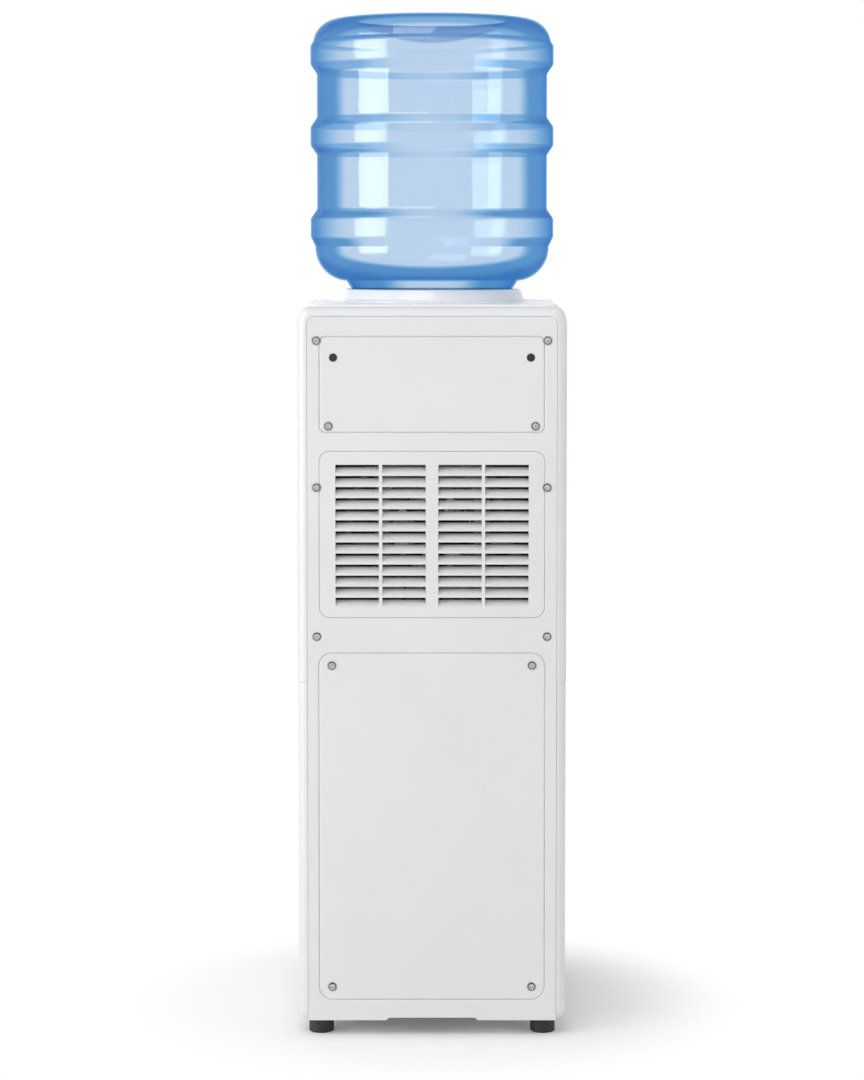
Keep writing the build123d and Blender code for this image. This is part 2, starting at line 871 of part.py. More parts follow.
def pocket(panel, width, height, middle_z, radius, groove, pads):
    # Recess for a cover with a grooved rim, and a window in it that leaves a pad at each screw
    with BuildSketch(rear_plane(half_depth)) as recess:
        with Locations((0, middle_z)):
            RectangleRounded(width + 2 * cover_gap, height + 2 * cover_gap, radius + cover_gap)
    extrude(recess.sketch, amount=-cover_thickness, mode=Mode.SUBTRACT)
    rims = panel.faces().sort_by(Axis.Y)[-1].inner_wires()
    chamfer(min(rims, key=lambda rim: abs(rim.center().Z - middle_z)).edges(), groove)
    with BuildSketch(rear_plane(half_depth)) as window:
        with Locations((0, middle_z)):
            RectangleRounded(width - 2 * cover_ledge, height - 2 * cover_ledge, radius)
        if pads:
            with Locations(*[(-x, z) for x, z in pads]):
                Circle(pad_radius, mode=Mode.SUBTRACT)
    extrude(window.sketch, amount=-panel_thickness, mode=Mode.SUBTRACT)


with BuildPart() as rear_panel:
    extrude(panel_outline(rear_plane(half_depth), cabinet_bottom, panel_gap), amount=-panel_thickness)
    with BuildSketch(rear_plane(half_depth)):
        with Locations((0, cabinet_bottom)):
            Trapezoid(notch_width, notch_height, notch_angle, align=(Align.CENTER, Align.MIN))
    extrude(amount=-panel_thickness, mode=Mode.SUBTRACT)
    pocket(
        rear_panel,
        upper_cover_width,
        upper_cover_height,
        upper_cover_z,
        upper_cover_radius,
        groove_chamfer,
        upper_cover_screws,
    )
    pocket(rear_panel, grille_width, grille_height, grille_z, grille_radius, faint_groove_chamfer, [])
    pocket(
        rear_panel,
        lower_cover_width,
        lower_cover_height,
        lower_cover_z,
        lower_cover_radius,
        groove_chamfer,
        lower_cover_screws,
    )
    pegs(panel_screws, rear_plane, half_depth, screw_recess_radius, screw_recess_depth, Mode.SUBTRACT)
    pegs(
        rear_screw_points, rear_plane, half_depth, screw_radius + screw_play, panel_thickness, Mode.SUBTRACT
    )
save(rear_panel, "rear_panel")


# Covers set into the rear panel


def cover_plate(width, height, middle_z, radius, groove):
    # Flat cover with a chamfered rim, cut back where a screw of the rear panel stands beside it
    with BuildPart() as plate:
        with BuildSketch(rear_plane(half_depth)):
            with Locations((0, middle_z)):
                RectangleRounded(width, height, radius)
        extrude(amount=-cover_thickness)
        chamfer(plate.faces().sort_by(Axis.Y)[-1].edges(), groove)
        pegs(
            panel_screws,
            rear_plane,
            half_depth,
            screw_recess_radius + screw_play,
            cover_thickness,
            Mode.SUBTRACT,
        )
    return plate.part


upper_plate = cover_plate(
    upper_cover_width, upper_cover_height, upper_cover_z, upper_cover_radius, groove_chamfer
)
with BuildPart() as upper_rear_cover:
    add(upper_plate)
    pegs(
        upper_cover_screws, rear_plane, half_depth, screw_recess_radius, screw_recess_depth, Mode.SUBTRACT
    )
    pegs(
        upper_cover_screws, rear_plane, half_depth, screw_radius + screw_play, cover_thickness, Mode.SUBTRACT
    )
    pegs(
        plug_points,
        rear_plane,
        half_depth,
        plug_radius + plug_hole_chamfer / 2,
        plug_head_height * 2 / 3,
        Mode.SUBTRACT,
    )
    pegs(plug_points, rear_plane, half_depth, plug_stem_radius + plug_play, cover_thickness, Mode.SUBTRACT)
save(upper_rear_cover, "upper_rear_cover")

lower_plate = cover_plate(
    lower_cover_width, lower_cover_height, lower_cover_z, lower_cover_radius, groove_chamfer
)
with BuildPart() as lower_rear_cover:
    add(lower_plate)
    pegs(
        lower_cover_screws, rear_plane, half_depth, screw_recess_radius, screw_recess_depth, Mode.SUBTRACT
    )
    pegs(
        lower_cover_screws, rear_plane, half_depth, screw_radius + screw_play, cover_thickness, Mode.SUBTRACT
    )
save(lower_rear_cover, "lower_rear_cover")


# Vent grille: rows of windows, each with a slat that climbs inwards from its lower edge

louvre_centres = [
    side * (louvre_middle_bar / 2 + louvre_width / 2 + step * (louvre_width + louvre_rib))
    for side in (-1, 1)
    for step in (0, 1)
]
louvre_tops = [grille_top - louvre_top_drop - row * louvre_pitch for row in range(louvre_rows)]
louvre_inner_x = louvre_middle_bar / 2
louvre_outer_x = louvre_inner_x + 2 * louvre_width + louvre_rib
grille_plate = cover_plate(grille_width, grille_height, grille_z, grille_radius, faint_groove_chamfer)

with BuildPart() as vent_grille:
    add(grille_plate)
    with BuildSketch(rear_plane(half_depth)):
        for top in louvre_tops:
            for x in louvre_centres:
                with Locations((x, top - louvre_height / 2)):
                    Rectangle(louvre_width, louvre_height)
    extrude(amount=-cover_thickness, mode=Mode.SUBTRACT)
    for start in (-louvre_outer_x, louvre_inner_x):
        with BuildSketch(side_plane(start)):
            for top in louvre_tops:
                sill = top - louvre_height
                with BuildLine():
                    Polyline(
                        (half_depth, sill),
                        (half_depth - slat_depth, sill + slat_rise),
                        (half_depth - slat_depth, sill + slat_rise - slat_thickness),
                        (half_depth, sill - slat_thickness),
                        close=True,
                    )
                make_face()
        extrude(amount=louvre_outer_x - louvre_inner_x)
save(vent_grille, "vent_grille")


# Plugs and screws in the rear panel and its covers

with BuildPart() as hole_plugs:
    plug_face = half_depth + plug_head_height * plug_proud_share
    plug_seat = plug_face - plug_head_height
    pegs(plug_points, rear_plane, plug_face, plug_radius, plug_head_height)
    fillet(hole_plugs.edges().group_by(Axis.Y)[-1], plug_head_height / 2)
    pegs(plug_points, rear_plane, plug_seat, plug_stem_radius, plug_stem_length)
save(hole_plugs, "hole_plugs")

rear_screw = pan_head_screw(screw_head_radius, screw_head_height, screw_radius, screw_length)
with BuildPart() as rear_screws:
    with Locations(*[(x, screw_seat_y, z) for x, z in rear_screw_points]):
        add(rear_screw, rotation=(-90, 0, 0))
save(rear_screws, "rear_screws")


# Top cover: a slightly crowned lid over the opening in the upper housing

collar_seat_z = cabinet_top + collar_seat_rise

with BuildPart() as top_cover:
    edge_z = cabinet_top + top_cover_edge_height
    with BuildSketch(side_plane(-top_cover_width / 2)):
        with BuildLine():
            ThreePointArc(
                (-top_cover_depth / 2, edge_z), (0, edge_z + top_cover_crown), (top_cover_depth / 2, edge_z)
            )
            Polyline(
                (top_cover_depth / 2, edge_z),
                (top_cover_depth / 2, cabinet_top),
                (-top_cover_depth / 2, cabinet_top),
                (-top_cover_depth / 2, edge_z),
            )
        make_face()
    extrude(amount=top_cover_width)
    fillet(top_cover.edges().filter_by(Axis.Z), top_cover_corner_radius)
    fillet(top_cover.faces().sort_by(Axis.Z)[-1].edges(), top_cover_round)
    with BuildSketch(Plane.XY.offset(cabinet_top)):
        RectangleRounded(
            top_opening_width - 2 * top_cover_play,
            top_opening_depth - 2 * top_cover_play,
            top_opening_radius - top_cover_play,
        )
        offset(amount=-top_cover_rib_thickness, mode=Mode.SUBTRACT)
    extrude(amount=-top_cover_rib_height)
    with Locations((0, 0, collar_seat_z)):
        CounterBoreHole(top_hole_radius, collar_flange_radius + collar_seat_play, 0, cabinet_height)
        Cylinder(
            collar_flange_radius + collar_seat_play,
            top_cover_rib_height,
            align=upwards,
            mode=Mode.SUBTRACT,
        )
save(top_cover, "top_cover")


# Collar round the bottle's shoulder, seated in the top cover over the funnel's brim

brim_top_z = collar_seat_z + funnel_brim_thickness
collar_top_z = collar_seat_z + collar_height
collar_flange_z = collar_seat_z + collar_flange_height

with BuildPart() as bottle_collar:
    with BuildSketch(Plane.XZ):
        with BuildLine():
            Polyline(
                (collar_flange_radius, collar_seat_z),
                (collar_flange_radius, collar_flange_z),
                (collar_low_radius, collar_flange_z),
                (collar_top_radius, collar_top_z),
                (collar_top_radius - collar_wall, collar_top_z),
                (collar_low_radius - collar_wall, collar_flange_z),
                (collar_low_radius - collar_wall, brim_top_z + panel_gap),
                (funnel_brim_radius + panel_gap, brim_top_z + panel_gap),
                (funnel_brim_radius + panel_gap, collar_seat_z),
                close=True,
            )
        make_face()
    revolve(axis=Axis.Z)
    rim_edges = bottle_collar.edges().filter_by(GeomType.CIRCLE).group_by(Axis.Z)[-1]
    fillet(rim_edges, collar_round)
    flange_edges = bottle_collar.edges().filter_by(
        lambda edge: abs(edge.center().Z - collar_flange_z) < same_level and edge.radius > collar_top_radius
    )
    fillet(flange_edges, collar_round)
save(bottle_collar, "bottle_collar")


# Water bottle, upside down: a blown shell with a neck, a domed shoulder, bands and waists

neck_base_z = cabinet_top - neck_drop
neck_top_z = neck_base_z + neck_length
shoulder_z = neck_top_z + shoulder_rise
step_z = shoulder_z + step_rise
dome_z = step_z + dome_rise
shoulder_slope = shoulder_rise / (shoulder_radius - neck_radius)
punt_sphere_radius = (punt_radius**2 + punt_depth**2) / (2 * punt_depth)


def bottle_form(inset):
    # Solid shape of the bottle, drawn in from its outside by a wall
    first_band = dome_z + band_slope
    second_band = first_band + band_flat + 2 * band_slope + lower_waist
    third_band = second_band + band_flat + 2 * band_slope + upper_waist
    crown_z = third_band + band_flat + crown_step_rise
    top_z = crown_z + crown_rise
    waists = []
    for band in (first_band, second_band):
        waists += [
            (band_radius - inset, band + band_flat),
            (waist_radius - inset, band + band_flat + band_slope),
        ]
        following = second_band if band == first_band else third_band
        waists += [(waist_radius - inset, following - band_slope), (band_radius - inset, following)]
    with BuildPart() as form:
        with BuildSketch(Plane.XZ):
            with BuildLine():
                Polyline(
                    (0, neck_base_z),
                    (neck_radius - inset, neck_base_z),
                    (neck_radius - inset, neck_top_z + inset),
                    (shoulder_radius - inset, shoulder_z + inset),
                    (step_radius - inset, step_z + inset),
                )
                ThreePointArc(
                    (step_radius - inset, step_z + inset),
                    (dome_middle_radius - inset, step_z + dome_middle_rise + inset),
                    (dome_radius - inset, dome_z),
                )
                FilletPolyline(
                    (dome_radius - inset, dome_z),
                    (band_radius - inset, first_band),
                    *waists,
                    (band_radius - inset, third_band + band_flat),
                    (crown_step_radius - inset, crown_z),
                    radius=band_round,
                )
                ThreePointArc(
                    (crown_step_radius - inset, crown_z),
                    (crown_middle_radius - inset, crown_z + crown_middle_rise - inset),
                    (crown_radius, top_z - inset),
                )
                Line((crown_radius, top_z - inset), (punt_radius, top_z - inset))
                RadiusArc((punt_radius, top_z - inset), (0, top_z - punt_depth - inset), punt_sphere_radius)
                Line((0, top_z - punt_depth - inset), (0, neck_base_z))
            make_face()
        revolve(axis=Axis.Z)
    return form.part


bottle_outside = bottle_form(0)
bottle_inside = bottle_form(bottle_wall)
with BuildPart() as water_bottle:
    add(bottle_outside)
    add(bottle_inside, mode=Mode.SUBTRACT)
save(water_bottle, "water_bottle")

cap_radius = neck_radius + cap_wall
cap_base_z = neck_base_z - cap_wall
with BuildPart() as bottle_cap:
    rod((0, 0, cap_base_z), (0, 0, 1), cap_radius, cap_skirt_length)
    rod((0, 0, neck_base_z), (0, 0, 1), neck_radius, cap_skirt_length, Mode.SUBTRACT)
    rod((0, 0, cap_base_z), (0, 0, 1), cap_tube_radius, cap_tube_length)
    rod((0, 0, cap_base_z), (0, 0, 1), cap_tube_radius - cap_tube_wall, cap_tube_length, Mode.SUBTRACT)
save(bottle_cap, "bottle_cap")


# Funnel that the bottle's shoulder rests in, with a socket for the neck and its cap

funnel_floor_z = cabinet_top - funnel_floor_drop
socket_radius = cap_radius + socket_gap
slope_length = math.hypot(1, shoulder_slope)
inner_cone_z = neck_top_z - seat_gap * slope_length
outer_cone_z = inner_cone_z - funnel_wall * slope_length


def cone_z(base_z, radius):
    # Height of a cone parallel to the bottle's shoulder, from its height at the neck
    return base_z + shoulder_slope * (radius - neck_radius)


with BuildPart() as bottle_funnel:
    mouth_radius = neck_radius + (brim_top_z - inner_cone_z) / shoulder_slope
    root_radius = neck_radius + (collar_seat_z - outer_cone_z) / shoulder_slope
    outer_socket = socket_radius + funnel_wall
    with BuildSketch(Plane.XZ):
        with BuildLine():
            Polyline(
                (spike_radius + thread_play, funnel_floor_z),
                (socket_radius, funnel_floor_z),
                (socket_radius, cone_z(inner_cone_z, socket_radius)),
                (mouth_radius, brim_top_z),
                (funnel_brim_radius, brim_top_z),
                (funnel_brim_radius, collar_seat_z),
                (root_radius, collar_seat_z),
                (outer_socket, cone_z(outer_cone_z, outer_socket)),
                (outer_socket, funnel_floor_z - funnel_wall),
                (spike_radius + thread_play, funnel_floor_z - funnel_wall),
                close=True,
            )
        make_face()
    revolve(axis=Axis.Z)
save(bottle_funnel, "bottle_funnel")


# Feed spike that opens the bottle's cap and leads the water down

with BuildPart() as feed_spike:
    rod((0, 0, funnel_floor_z), (0, 0, 1), spike_base_radius, spike_base_thickness)
    rod(
        (0, 0, funnel_floor_z - spike_tail_length), (0, 0, 1), spike_radius, spike_tail_length + spike_height
    )
    with Locations((0, 0, funnel_floor_z + spike_height)):
        Cone(spike_radius, spike_tip_radius, spike_tip_height, align=upwards)
    rod(
        (0, 0, funnel_floor_z - spike_tail_length),
        (0, 0, 1),
        spike_bore_radius,
        spike_tail_length + spike_height,
        Mode.SUBTRACT,
    )
    inlet_z = funnel_floor_z + spike_height - 2 * spike_inlet_radius
    rod((-spike_radius, 0, inlet_z), (1, 0, 0), spike_inlet_radius, 2 * spike_radius, Mode.SUBTRACT)
    rod((0, -spike_radius, inlet_z), (0, 1, 0), spike_inlet_radius, 2 * spike_radius, Mode.SUBTRACT)
save(feed_spike, "feed_spike")


# Cold tank: a drawn steel can with a flanged mouth, a feed port and an outlet port

tank_flange_radius = tank_outer_radius + tank_flange_width
tank_floor_z = tank_bottom + tank_wall
tank_port_z = tank_bottom + port_rise
insulation_inner_radius = tank_outer_radius + insulation_gap
feed_port_y = tank_y + port_offset
outlet_port_y = tank_y - port_offset
tank_tube_x = insulation_radius + tube_clearance
tank_port_reach = tank_tube_x + port_length


def drum(bottom, height, radius, rounding, closed):
    # Upright cylinder on the tanks' axis, rounded at its bottom and, where closed, at its top
    with BuildPart() as form:
        with Locations((0, tank_y, bottom)):
            Cylinder(radius, height, align=upwards)
        circles = form.edges().filter_by(GeomType.CIRCLE)
        fillet(circles if closed else circles.group_by(Axis.Z)[0], rounding)
    return form.part


tank_outside = drum(tank_bottom, tank_height, tank_outer_radius, tank_edge_round, False)
tank_inside = drum(tank_floor_z, tank_height, tank_radius, tank_edge_round - tank_wall, False)

with BuildPart() as cold_tank:
    add(tank_outside)
    with Locations((0, tank_y, tank_top - tank_wall)):
        Cylinder(tank_flange_radius, tank_wall, align=upwards)
    rod((0, feed_port_y, tank_port_z), (-1, 0, 0), port_radius, tank_port_reach)
    rod((0, outlet_port_y, tank_port_z), (1, 0, 0), port_radius, tank_port_reach)
    add(tank_inside, mode=Mode.SUBTRACT)
    rod((0, feed_port_y, tank_port_z), (-1, 0, 0), port_bore, tank_port_reach, Mode.SUBTRACT)
    rod((0, outlet_port_y, tank_port_z), (1, 0, 0), port_bore, tank_port_reach, Mode.SUBTRACT)
save(cold_tank, "cold_tank")

with BuildPart() as cold_tank_lid:
    with Locations((0, tank_y, tank_top)):
        Cylinder(tank_flange_radius, lid_thickness, align=upwards)
    with Locations((0, tank_y, tank_top - lid_spigot_height)):
        Cylinder(tank_radius - insulation_gap, lid_spigot_height, align=upwards)
        Cylinder(tank_radius - lid_thickness, lid_spigot_height, align=upwards, mode=Mode.SUBTRACT)
    socket_top_z = tank_top + lid_thickness + lid_socket_height
    rod((0, 0, tank_top), (0, 0, 1), spike_radius + lid_socket_wall, socket_top_z - tank_top)
    rod((0, 0, tank_top), (0, 0, 1), spike_radius + plug_play, socket_top_z - tank_top, Mode.SUBTRACT)
    rod((0, tank_y + lid_vent_offset, tank_top), (0, 0, 1), lid_vent_radius, lid_thickness, Mode.SUBTRACT)
save(cold_tank_lid, "cold_tank_lid")


# Baffle disc across the cold tank, standing on two legs and on the tube that feeds the hot tank

with BuildPart() as baffle_disc:
    disc_z = tank_bottom + baffle_rise
    with Locations((0, tank_y, disc_z)):
        Cylinder(tank_radius - baffle_play, baffle_thickness, align=upwards)
    rod((baffle_tube_x, feed_port_y, tank_floor_z), (0, 0, 1), baffle_leg_radius, disc_z - tank_floor_z)
    rod((0, outlet_port_y, tank_floor_z), (0, 0, 1), baffle_leg_radius, disc_z - tank_floor_z)
    tube_foot = (-baffle_tube_x, feed_port_y, tank_floor_z)
    rod(tube_foot, (0, 0, 1), baffle_tube_radius, disc_z - tank_floor_z)
    rod(tube_foot, (0, 0, 1), baffle_tube_bore, disc_z + baffle_thickness - tank_floor_z, Mode.SUBTRACT)
    side_hole = (-baffle_tube_x, feed_port_y, tank_port_z)
    rod(side_hole, (-1, 0, 0), port_bore, baffle_tube_radius, Mode.SUBTRACT)
save(baffle_disc, "baffle_disc")


# Foam shell round the cold tank, with a window at the back for the cold block

sink_z = grille_z
block_gap_radius = tank_outer_radius + paste_gap

with BuildPart() as cold_tank_insulation:
    insulation_top = tank_top - tank_wall - insulation_gap
    with Locations((0, tank_y, shelf_top)):
        Cylinder(insulation_radius, insulation_top - shelf_top, align=upwards)
    with Locations((0, tank_y, tank_bottom - insulation_gap)):
        Cylinder(insulation_inner_radius, tank_height, align=upwards, mode=Mode.SUBTRACT)
    hole_radius = port_radius + insulation_gap
    rod((0, feed_port_y, tank_port_z), (-1, 0, 0), hole_radius, tank_tube_x, Mode.SUBTRACT)
    rod((0, outlet_port_y, tank_port_z), (1, 0, 0), hole_radius, tank_tube_x, Mode.SUBTRACT)
    block(
        (-block_width / 2 - insulation_gap, tank_y, sink_z - block_height / 2 - insulation_gap),
        (block_width / 2 + insulation_gap, block_rear_y, sink_z + block_height / 2 + insulation_gap),
        Mode.SUBTRACT,
    )
save(cold_tank_insulation, "cold_tank_insulation")


# Shelf that carries the cold tank on the upper housing's rails

peltier_y = block_rear_y + peltier_thickness / 2

with BuildPart() as tank_shelf:
    shelf_half_width = half_width - housing_wall - shelf_play
    block((-shelf_half_width, shelf_front_y, shelf_bottom), (shelf_half_width, shelf_rear_y, shelf_top))
    lip_half_width = half_width - housing_wall - rail_width - shelf_play
    for lip_y in (shelf_front_y, shelf_rear_y - shelf_thickness):
        block(
            (-lip_half_width, lip_y, shelf_bottom - shelf_lip),
            (lip_half_width, lip_y + shelf_thickness, shelf_bottom),
        )
    for side in (-1, 1):
        with Locations((side * (tube_side_x + shelf_window_offset), tank_y, shelf_bottom)):
            Box(shelf_window_width, shelf_window_depth, shelf_thickness, align=upwards, mode=Mode.SUBTRACT)
        rod(
            (side * peltier_size / 4, peltier_y, shelf_bottom),
            (0, 0, 1),
            lead_radius + tube_clearance,
            shelf_thickness,
            Mode.SUBTRACT,
        )
save(tank_shelf, "tank_shelf")


# Thermoelectric cooling unit: block, Peltier module and finned sink on the cold tank's back

sink_front_y = block_rear_y + peltier_thickness
sink_face_y = sink_front_y + sink_base
fan_front_y = sink_face_y + fin_height
fan_rear_y = fan_front_y + fan_depth
fin_pitch = fan_hole_spacing / fin_gaps_between_screws
fins_each_side = int((sink_size - fin_thickness) / 2 // fin_pitch)
sink_screw_points = pair(sink_screw_spacing, sink_z)
fan_screw_points = pair(fan_hole_spacing, sink_z + fan_hole_spacing / 2) + pair(
    fan_hole_spacing, sink_z - fan_hole_spacing / 2
)

with BuildPart() as cold_block:
    block(
        (-block_width / 2, tank_y + tank_radius / 2, sink_z - block_height / 2),
        (block_width / 2, block_rear_y, sink_z + block_height / 2),
    )
    with Locations((0, tank_y, sink_z)):
        Cylinder(block_gap_radius, 2 * block_height, mode=Mode.SUBTRACT)
    pegs(
        sink_screw_points,
        rear_plane,
        block_rear_y,
        fan_screw_radius + thread_play,
        sink_screw_length - sink_base - peltier_thickness,
        Mode.SUBTRACT,
    )
save(cold_block, "cold_block")

with BuildPart() as peltier_module:
    with Locations((0, peltier_y, sink_z)):
        Box(peltier_size, peltier_thickness, peltier_size)
save(peltier_module, "peltier_module")

with BuildPart() as heat_sink:
    with Locations((0, sink_front_y + sink_base / 2, sink_z)):
        Box(sink_size, sink_base, sink_size)
    with Locations((0, sink_face_y + fin_height / 2, sink_z)):
        with GridLocations(fin_pitch, fin_pitch, 2 * fins_each_side + 1, 1):
            Box(fin_thickness, fin_height, sink_size)
    pegs(
        sink_screw_points, rear_plane, sink_face_y, fan_screw_radius + screw_play, sink_base, Mode.SUBTRACT
    )
    pegs(
        sink_screw_points,
        rear_plane,
        fan_front_y,
        fan_screw_head_radius + sink_screw_clearance,
        fin_height,
        Mode.SUBTRACT,
    )
save(heat_sink, "heat_sink")

sink_screw = pan_head_screw(
    fan_screw_head_radius, fan_screw_head_height, fan_screw_radius, sink_screw_length
)
with BuildPart() as sink_screws:
    with Locations(*[(x, sink_face_y, z) for x, z in sink_screw_points]):
        add(sink_screw, rotation=(-90, 0, 0))
save(sink_screws, "sink_screws")


# Fan behind the sink: frame with a motor base on struts, pitched rotor, four screws into the fins

with BuildPart() as fan_frame:
    with BuildSketch(rear_plane(fan_rear_y)):
        with Locations((0, sink_z)):
            RectangleRounded(fan_size, fan_size, fan_corner_round)
            Circle(fan_bore_radius, mode=Mode.SUBTRACT)
            with GridLocations(fan_hole_spacing, fan_hole_spacing, 2, 2):
                Circle(fan_screw_radius + screw_play, mode=Mode.SUBTRACT)
    extrude(amount=-fan_depth)
    with BuildSketch(rear_plane(fan_front_y + fan_strut_depth)):
        with Locations((0, sink_z)):
            Circle(fan_hub_radius)
            Rectangle(fan_strut_width, fan_bore_radius + fan_size / 2)
            Rectangle(fan_bore_radius + fan_size / 2, fan_strut_width)
            Circle(fan_shaft_radius + bearing_play, mode=Mode.SUBTRACT)
    extrude(amount=-fan_strut_depth)
save(fan_frame, "fan_frame")

rotor_depth = fan_depth - fan_strut_depth - 2 * fan_rotor_gap
blade_length = fan_blade_radius - fan_hub_radius / 2

with BuildPart() as rotor:
    with Locations((0, 0, rotor_depth / 2)):
        with PolarLocations(fan_blade_radius - blade_length / 2, fan_blades):
            Box(blade_length, fan_blade_thickness, fan_blade_chord, rotation=(fan_blade_pitch, 0, 0))
    Cylinder(fan_blade_radius, rotor_depth, align=upwards, mode=Mode.INTERSECT)
    Cylinder(fan_hub_radius, rotor_depth, align=upwards)
    fillet(rotor.faces().sort_by(Axis.Z)[-1].edges(), fan_shaft_radius)
    shaft_length = fan_strut_depth + fan_rotor_gap
    with Locations((0, 0, -shaft_length)):
        Cylinder(fan_shaft_radius, shaft_length, align=upwards)

with BuildPart() as fan_rotor:
    with Locations((0, fan_front_y + shaft_length, sink_z)):
        add(rotor.part, rotation=(-90, 0, 0))
save(fan_rotor, "fan_rotor")

fan_screw = pan_head_screw(
    fan_screw_head_radius, fan_screw_head_height, fan_screw_radius, fan_depth + fan_screw_reach
)
with BuildPart() as fan_screws:
    with Locations(*[(x, fan_rear_y, z) for x, z in fan_screw_points]):
        add(fan_screw, rotation=(-90, 0, 0))
save(fan_screws, "fan_screws")


# Hot tank: a closed steel can with its heater in the floor, held in foam by a strap

hot_foam_top = shelf_bottom - hot_tank_drop
hot_top = hot_foam_top - hot_insulation_thickness
hot_bottom = hot_top - hot_tank_height
hot_foam_bottom = hot_bottom - hot_insulation_thickness
hot_outer_radius = hot_tank_radius + tank_wall
hot_foam_radius = hot_outer_radius + hot_insulation_thickness
hot_tube_x = hot_foam_radius + tube_clearance
hot_port_reach = hot_tube_x + port_length
hot_inlet_z = hot_bottom + port_rise
hot_outlet_z = hot_top - port_rise
heater_flange_z = hot_bottom - heater_flange_thickness

hot_outside = drum(hot_bottom, hot_tank_height, hot_outer_radius, tank_edge_round, True)
hot_inside = drum(
    hot_bottom + tank_wall,
    hot_tank_height - 2 * tank_wall,
    hot_tank_radius,
    tank_edge_round - tank_wall,
    True,
)
hot_foam_inside = drum(
    hot_bottom - insulation_gap,
    hot_tank_height + 2 * insulation_gap,
    hot_outer_radius + insulation_gap,
    tank_edge_round,
    True,
)

with BuildPart() as hot_tank:
    add(hot_outside)
    rod((0, feed_port_y, hot_inlet_z), (-1, 0, 0), port_radius, hot_port_reach)
    rod((0, outlet_port_y, hot_outlet_z), (-1, 0, 0), port_radius, hot_port_reach)
    add(hot_inside, mode=Mode.SUBTRACT)
    rod((0, feed_port_y, hot_inlet_z), (-1, 0, 0), port_bore, hot_port_reach, Mode.SUBTRACT)
    rod((0, outlet_port_y, hot_outlet_z), (-1, 0, 0), port_bore, hot_port_reach, Mode.SUBTRACT)
    for side in (-1, 1):
        rod(
            (side * heater_bend_radius, tank_y, hot_bottom),
            (0, 0, 1),
            heater_rod_radius + insulation_gap,
            tank_wall,
            Mode.SUBTRACT,
        )
save(hot_tank, "hot_tank")

with BuildPart() as hot_tank_insulation:
    with Locations((0, tank_y, hot_foam_bottom)):
        Cylinder(hot_foam_radius, hot_foam_top - hot_foam_bottom, align=upwards)
    add(hot_foam_inside, mode=Mode.SUBTRACT)
    rod((0, feed_port_y, hot_inlet_z), (-1, 0, 0), hole_radius, hot_tube_x, Mode.SUBTRACT)
    rod((0, outlet_port_y, hot_outlet_z), (-1, 0, 0), hole_radius, hot_tube_x, Mode.SUBTRACT)
    rod(
        (0, tank_y, hot_foam_bottom),
        (0, 0, 1),
        heater_flange_radius + tube_clearance,
        hot_insulation_thickness,
        Mode.SUBTRACT,
    )
    for side in (-1, 1):
        rod(
            (side * thermostat_spacing / 2, tank_y, hot_top),
            (0, 0, 1),
            thermostat_radius + tube_clearance,
            hot_insulation_thickness,
            Mode.SUBTRACT,
        )
save(hot_tank_insulation, "hot_tank_insulation")

with BuildPart() as hot_tank_bracket:
    strap_reach = hot_foam_radius + bracket_play + bracket_thickness
    strap_low = hot_foam_bottom - bracket_thickness
    strap_inner = strap_reach - bracket_thickness
    flange_end = strap_inner - bracket_flange
    flange_under = shelf_bottom - bracket_thickness
    with BuildSketch(side_plane(-bracket_width / 2)):
        with BuildLine():
            Polyline(
                (tank_y - flange_end, shelf_bottom),
                (tank_y - strap_reach, shelf_bottom),
                (tank_y - strap_reach, strap_low),
                (tank_y + strap_reach, strap_low),
                (tank_y + strap_reach, shelf_bottom),
                (tank_y + flange_end, shelf_bottom),
                (tank_y + flange_end, flange_under),
                (tank_y + strap_inner, flange_under),
                (tank_y + strap_inner, hot_foam_bottom),
                (tank_y - strap_inner, hot_foam_bottom),
                (tank_y - strap_inner, flange_under),
                (tank_y - flange_end, flange_under),
                close=True,
            )
        make_face()
    extrude(amount=bracket_width)
    rod((0, tank_y, strap_low), (0, 0, 1), bracket_hole_radius, bracket_thickness, Mode.SUBTRACT)
save(hot_tank_bracket, "hot_tank_bracket")

with BuildPart() as heating_element:
    with Locations((0, tank_y, heater_flange_z)):
        Cylinder(heater_flange_radius, heater_flange_thickness, align=upwards)
    with BuildLine(Plane(origin=(0, tank_y, 0), x_dir=(1, 0, 0), z_dir=(0, -1, 0))) as hairpin:
        leg_top = hot_bottom + heater_reach - heater_bend_radius
        leg = Line((-heater_bend_radius, heater_flange_z), (-heater_bend_radius, leg_top))
        crook = JernArc(leg @ 1, leg % 1, heater_bend_radius, -180)
        Line(crook @ 1, (heater_bend_radius, heater_flange_z))
    with BuildSketch(Plane.XY.offset(heater_flange_z)):
        with Locations((-heater_bend_radius, tank_y)):
            Circle(heater_rod_radius)
    sweep(path=hairpin.wire())
    for side in (-1, 1):
        rod(
            (side * heater_bend_radius, tank_y, heater_flange_z),
            (0, 0, -1),
            heater_terminal_radius,
            heater_terminal_length,
        )
save(heating_element, "heating_element")

with BuildPart() as thermostats:
    for side in (-1, 1):
        thermostat_seat = (side * thermostat_spacing / 2, tank_y, hot_top)
        rod(thermostat_seat, (0, 0, 1), thermostat_radius, thermostat_height)
save(thermostats, "thermostats")


# Water tubes from the cold tank to the hot tank and from each tank to its tap

tap_x = tap_spacing / 2
tap_y = alcove_back_y - tap_reach
tap_z = alcove_top - tap_drop
tap_tube_y = alcove_back_y + tail_length + tube_end_gap


def tube(label, points, bends):
    with BuildPart() as hose:
        bent_rod(points, bends, tube_radius)
        bent_rod(points, bends, port_radius + port_play, Mode.SUBTRACT)
    save(hose, label)


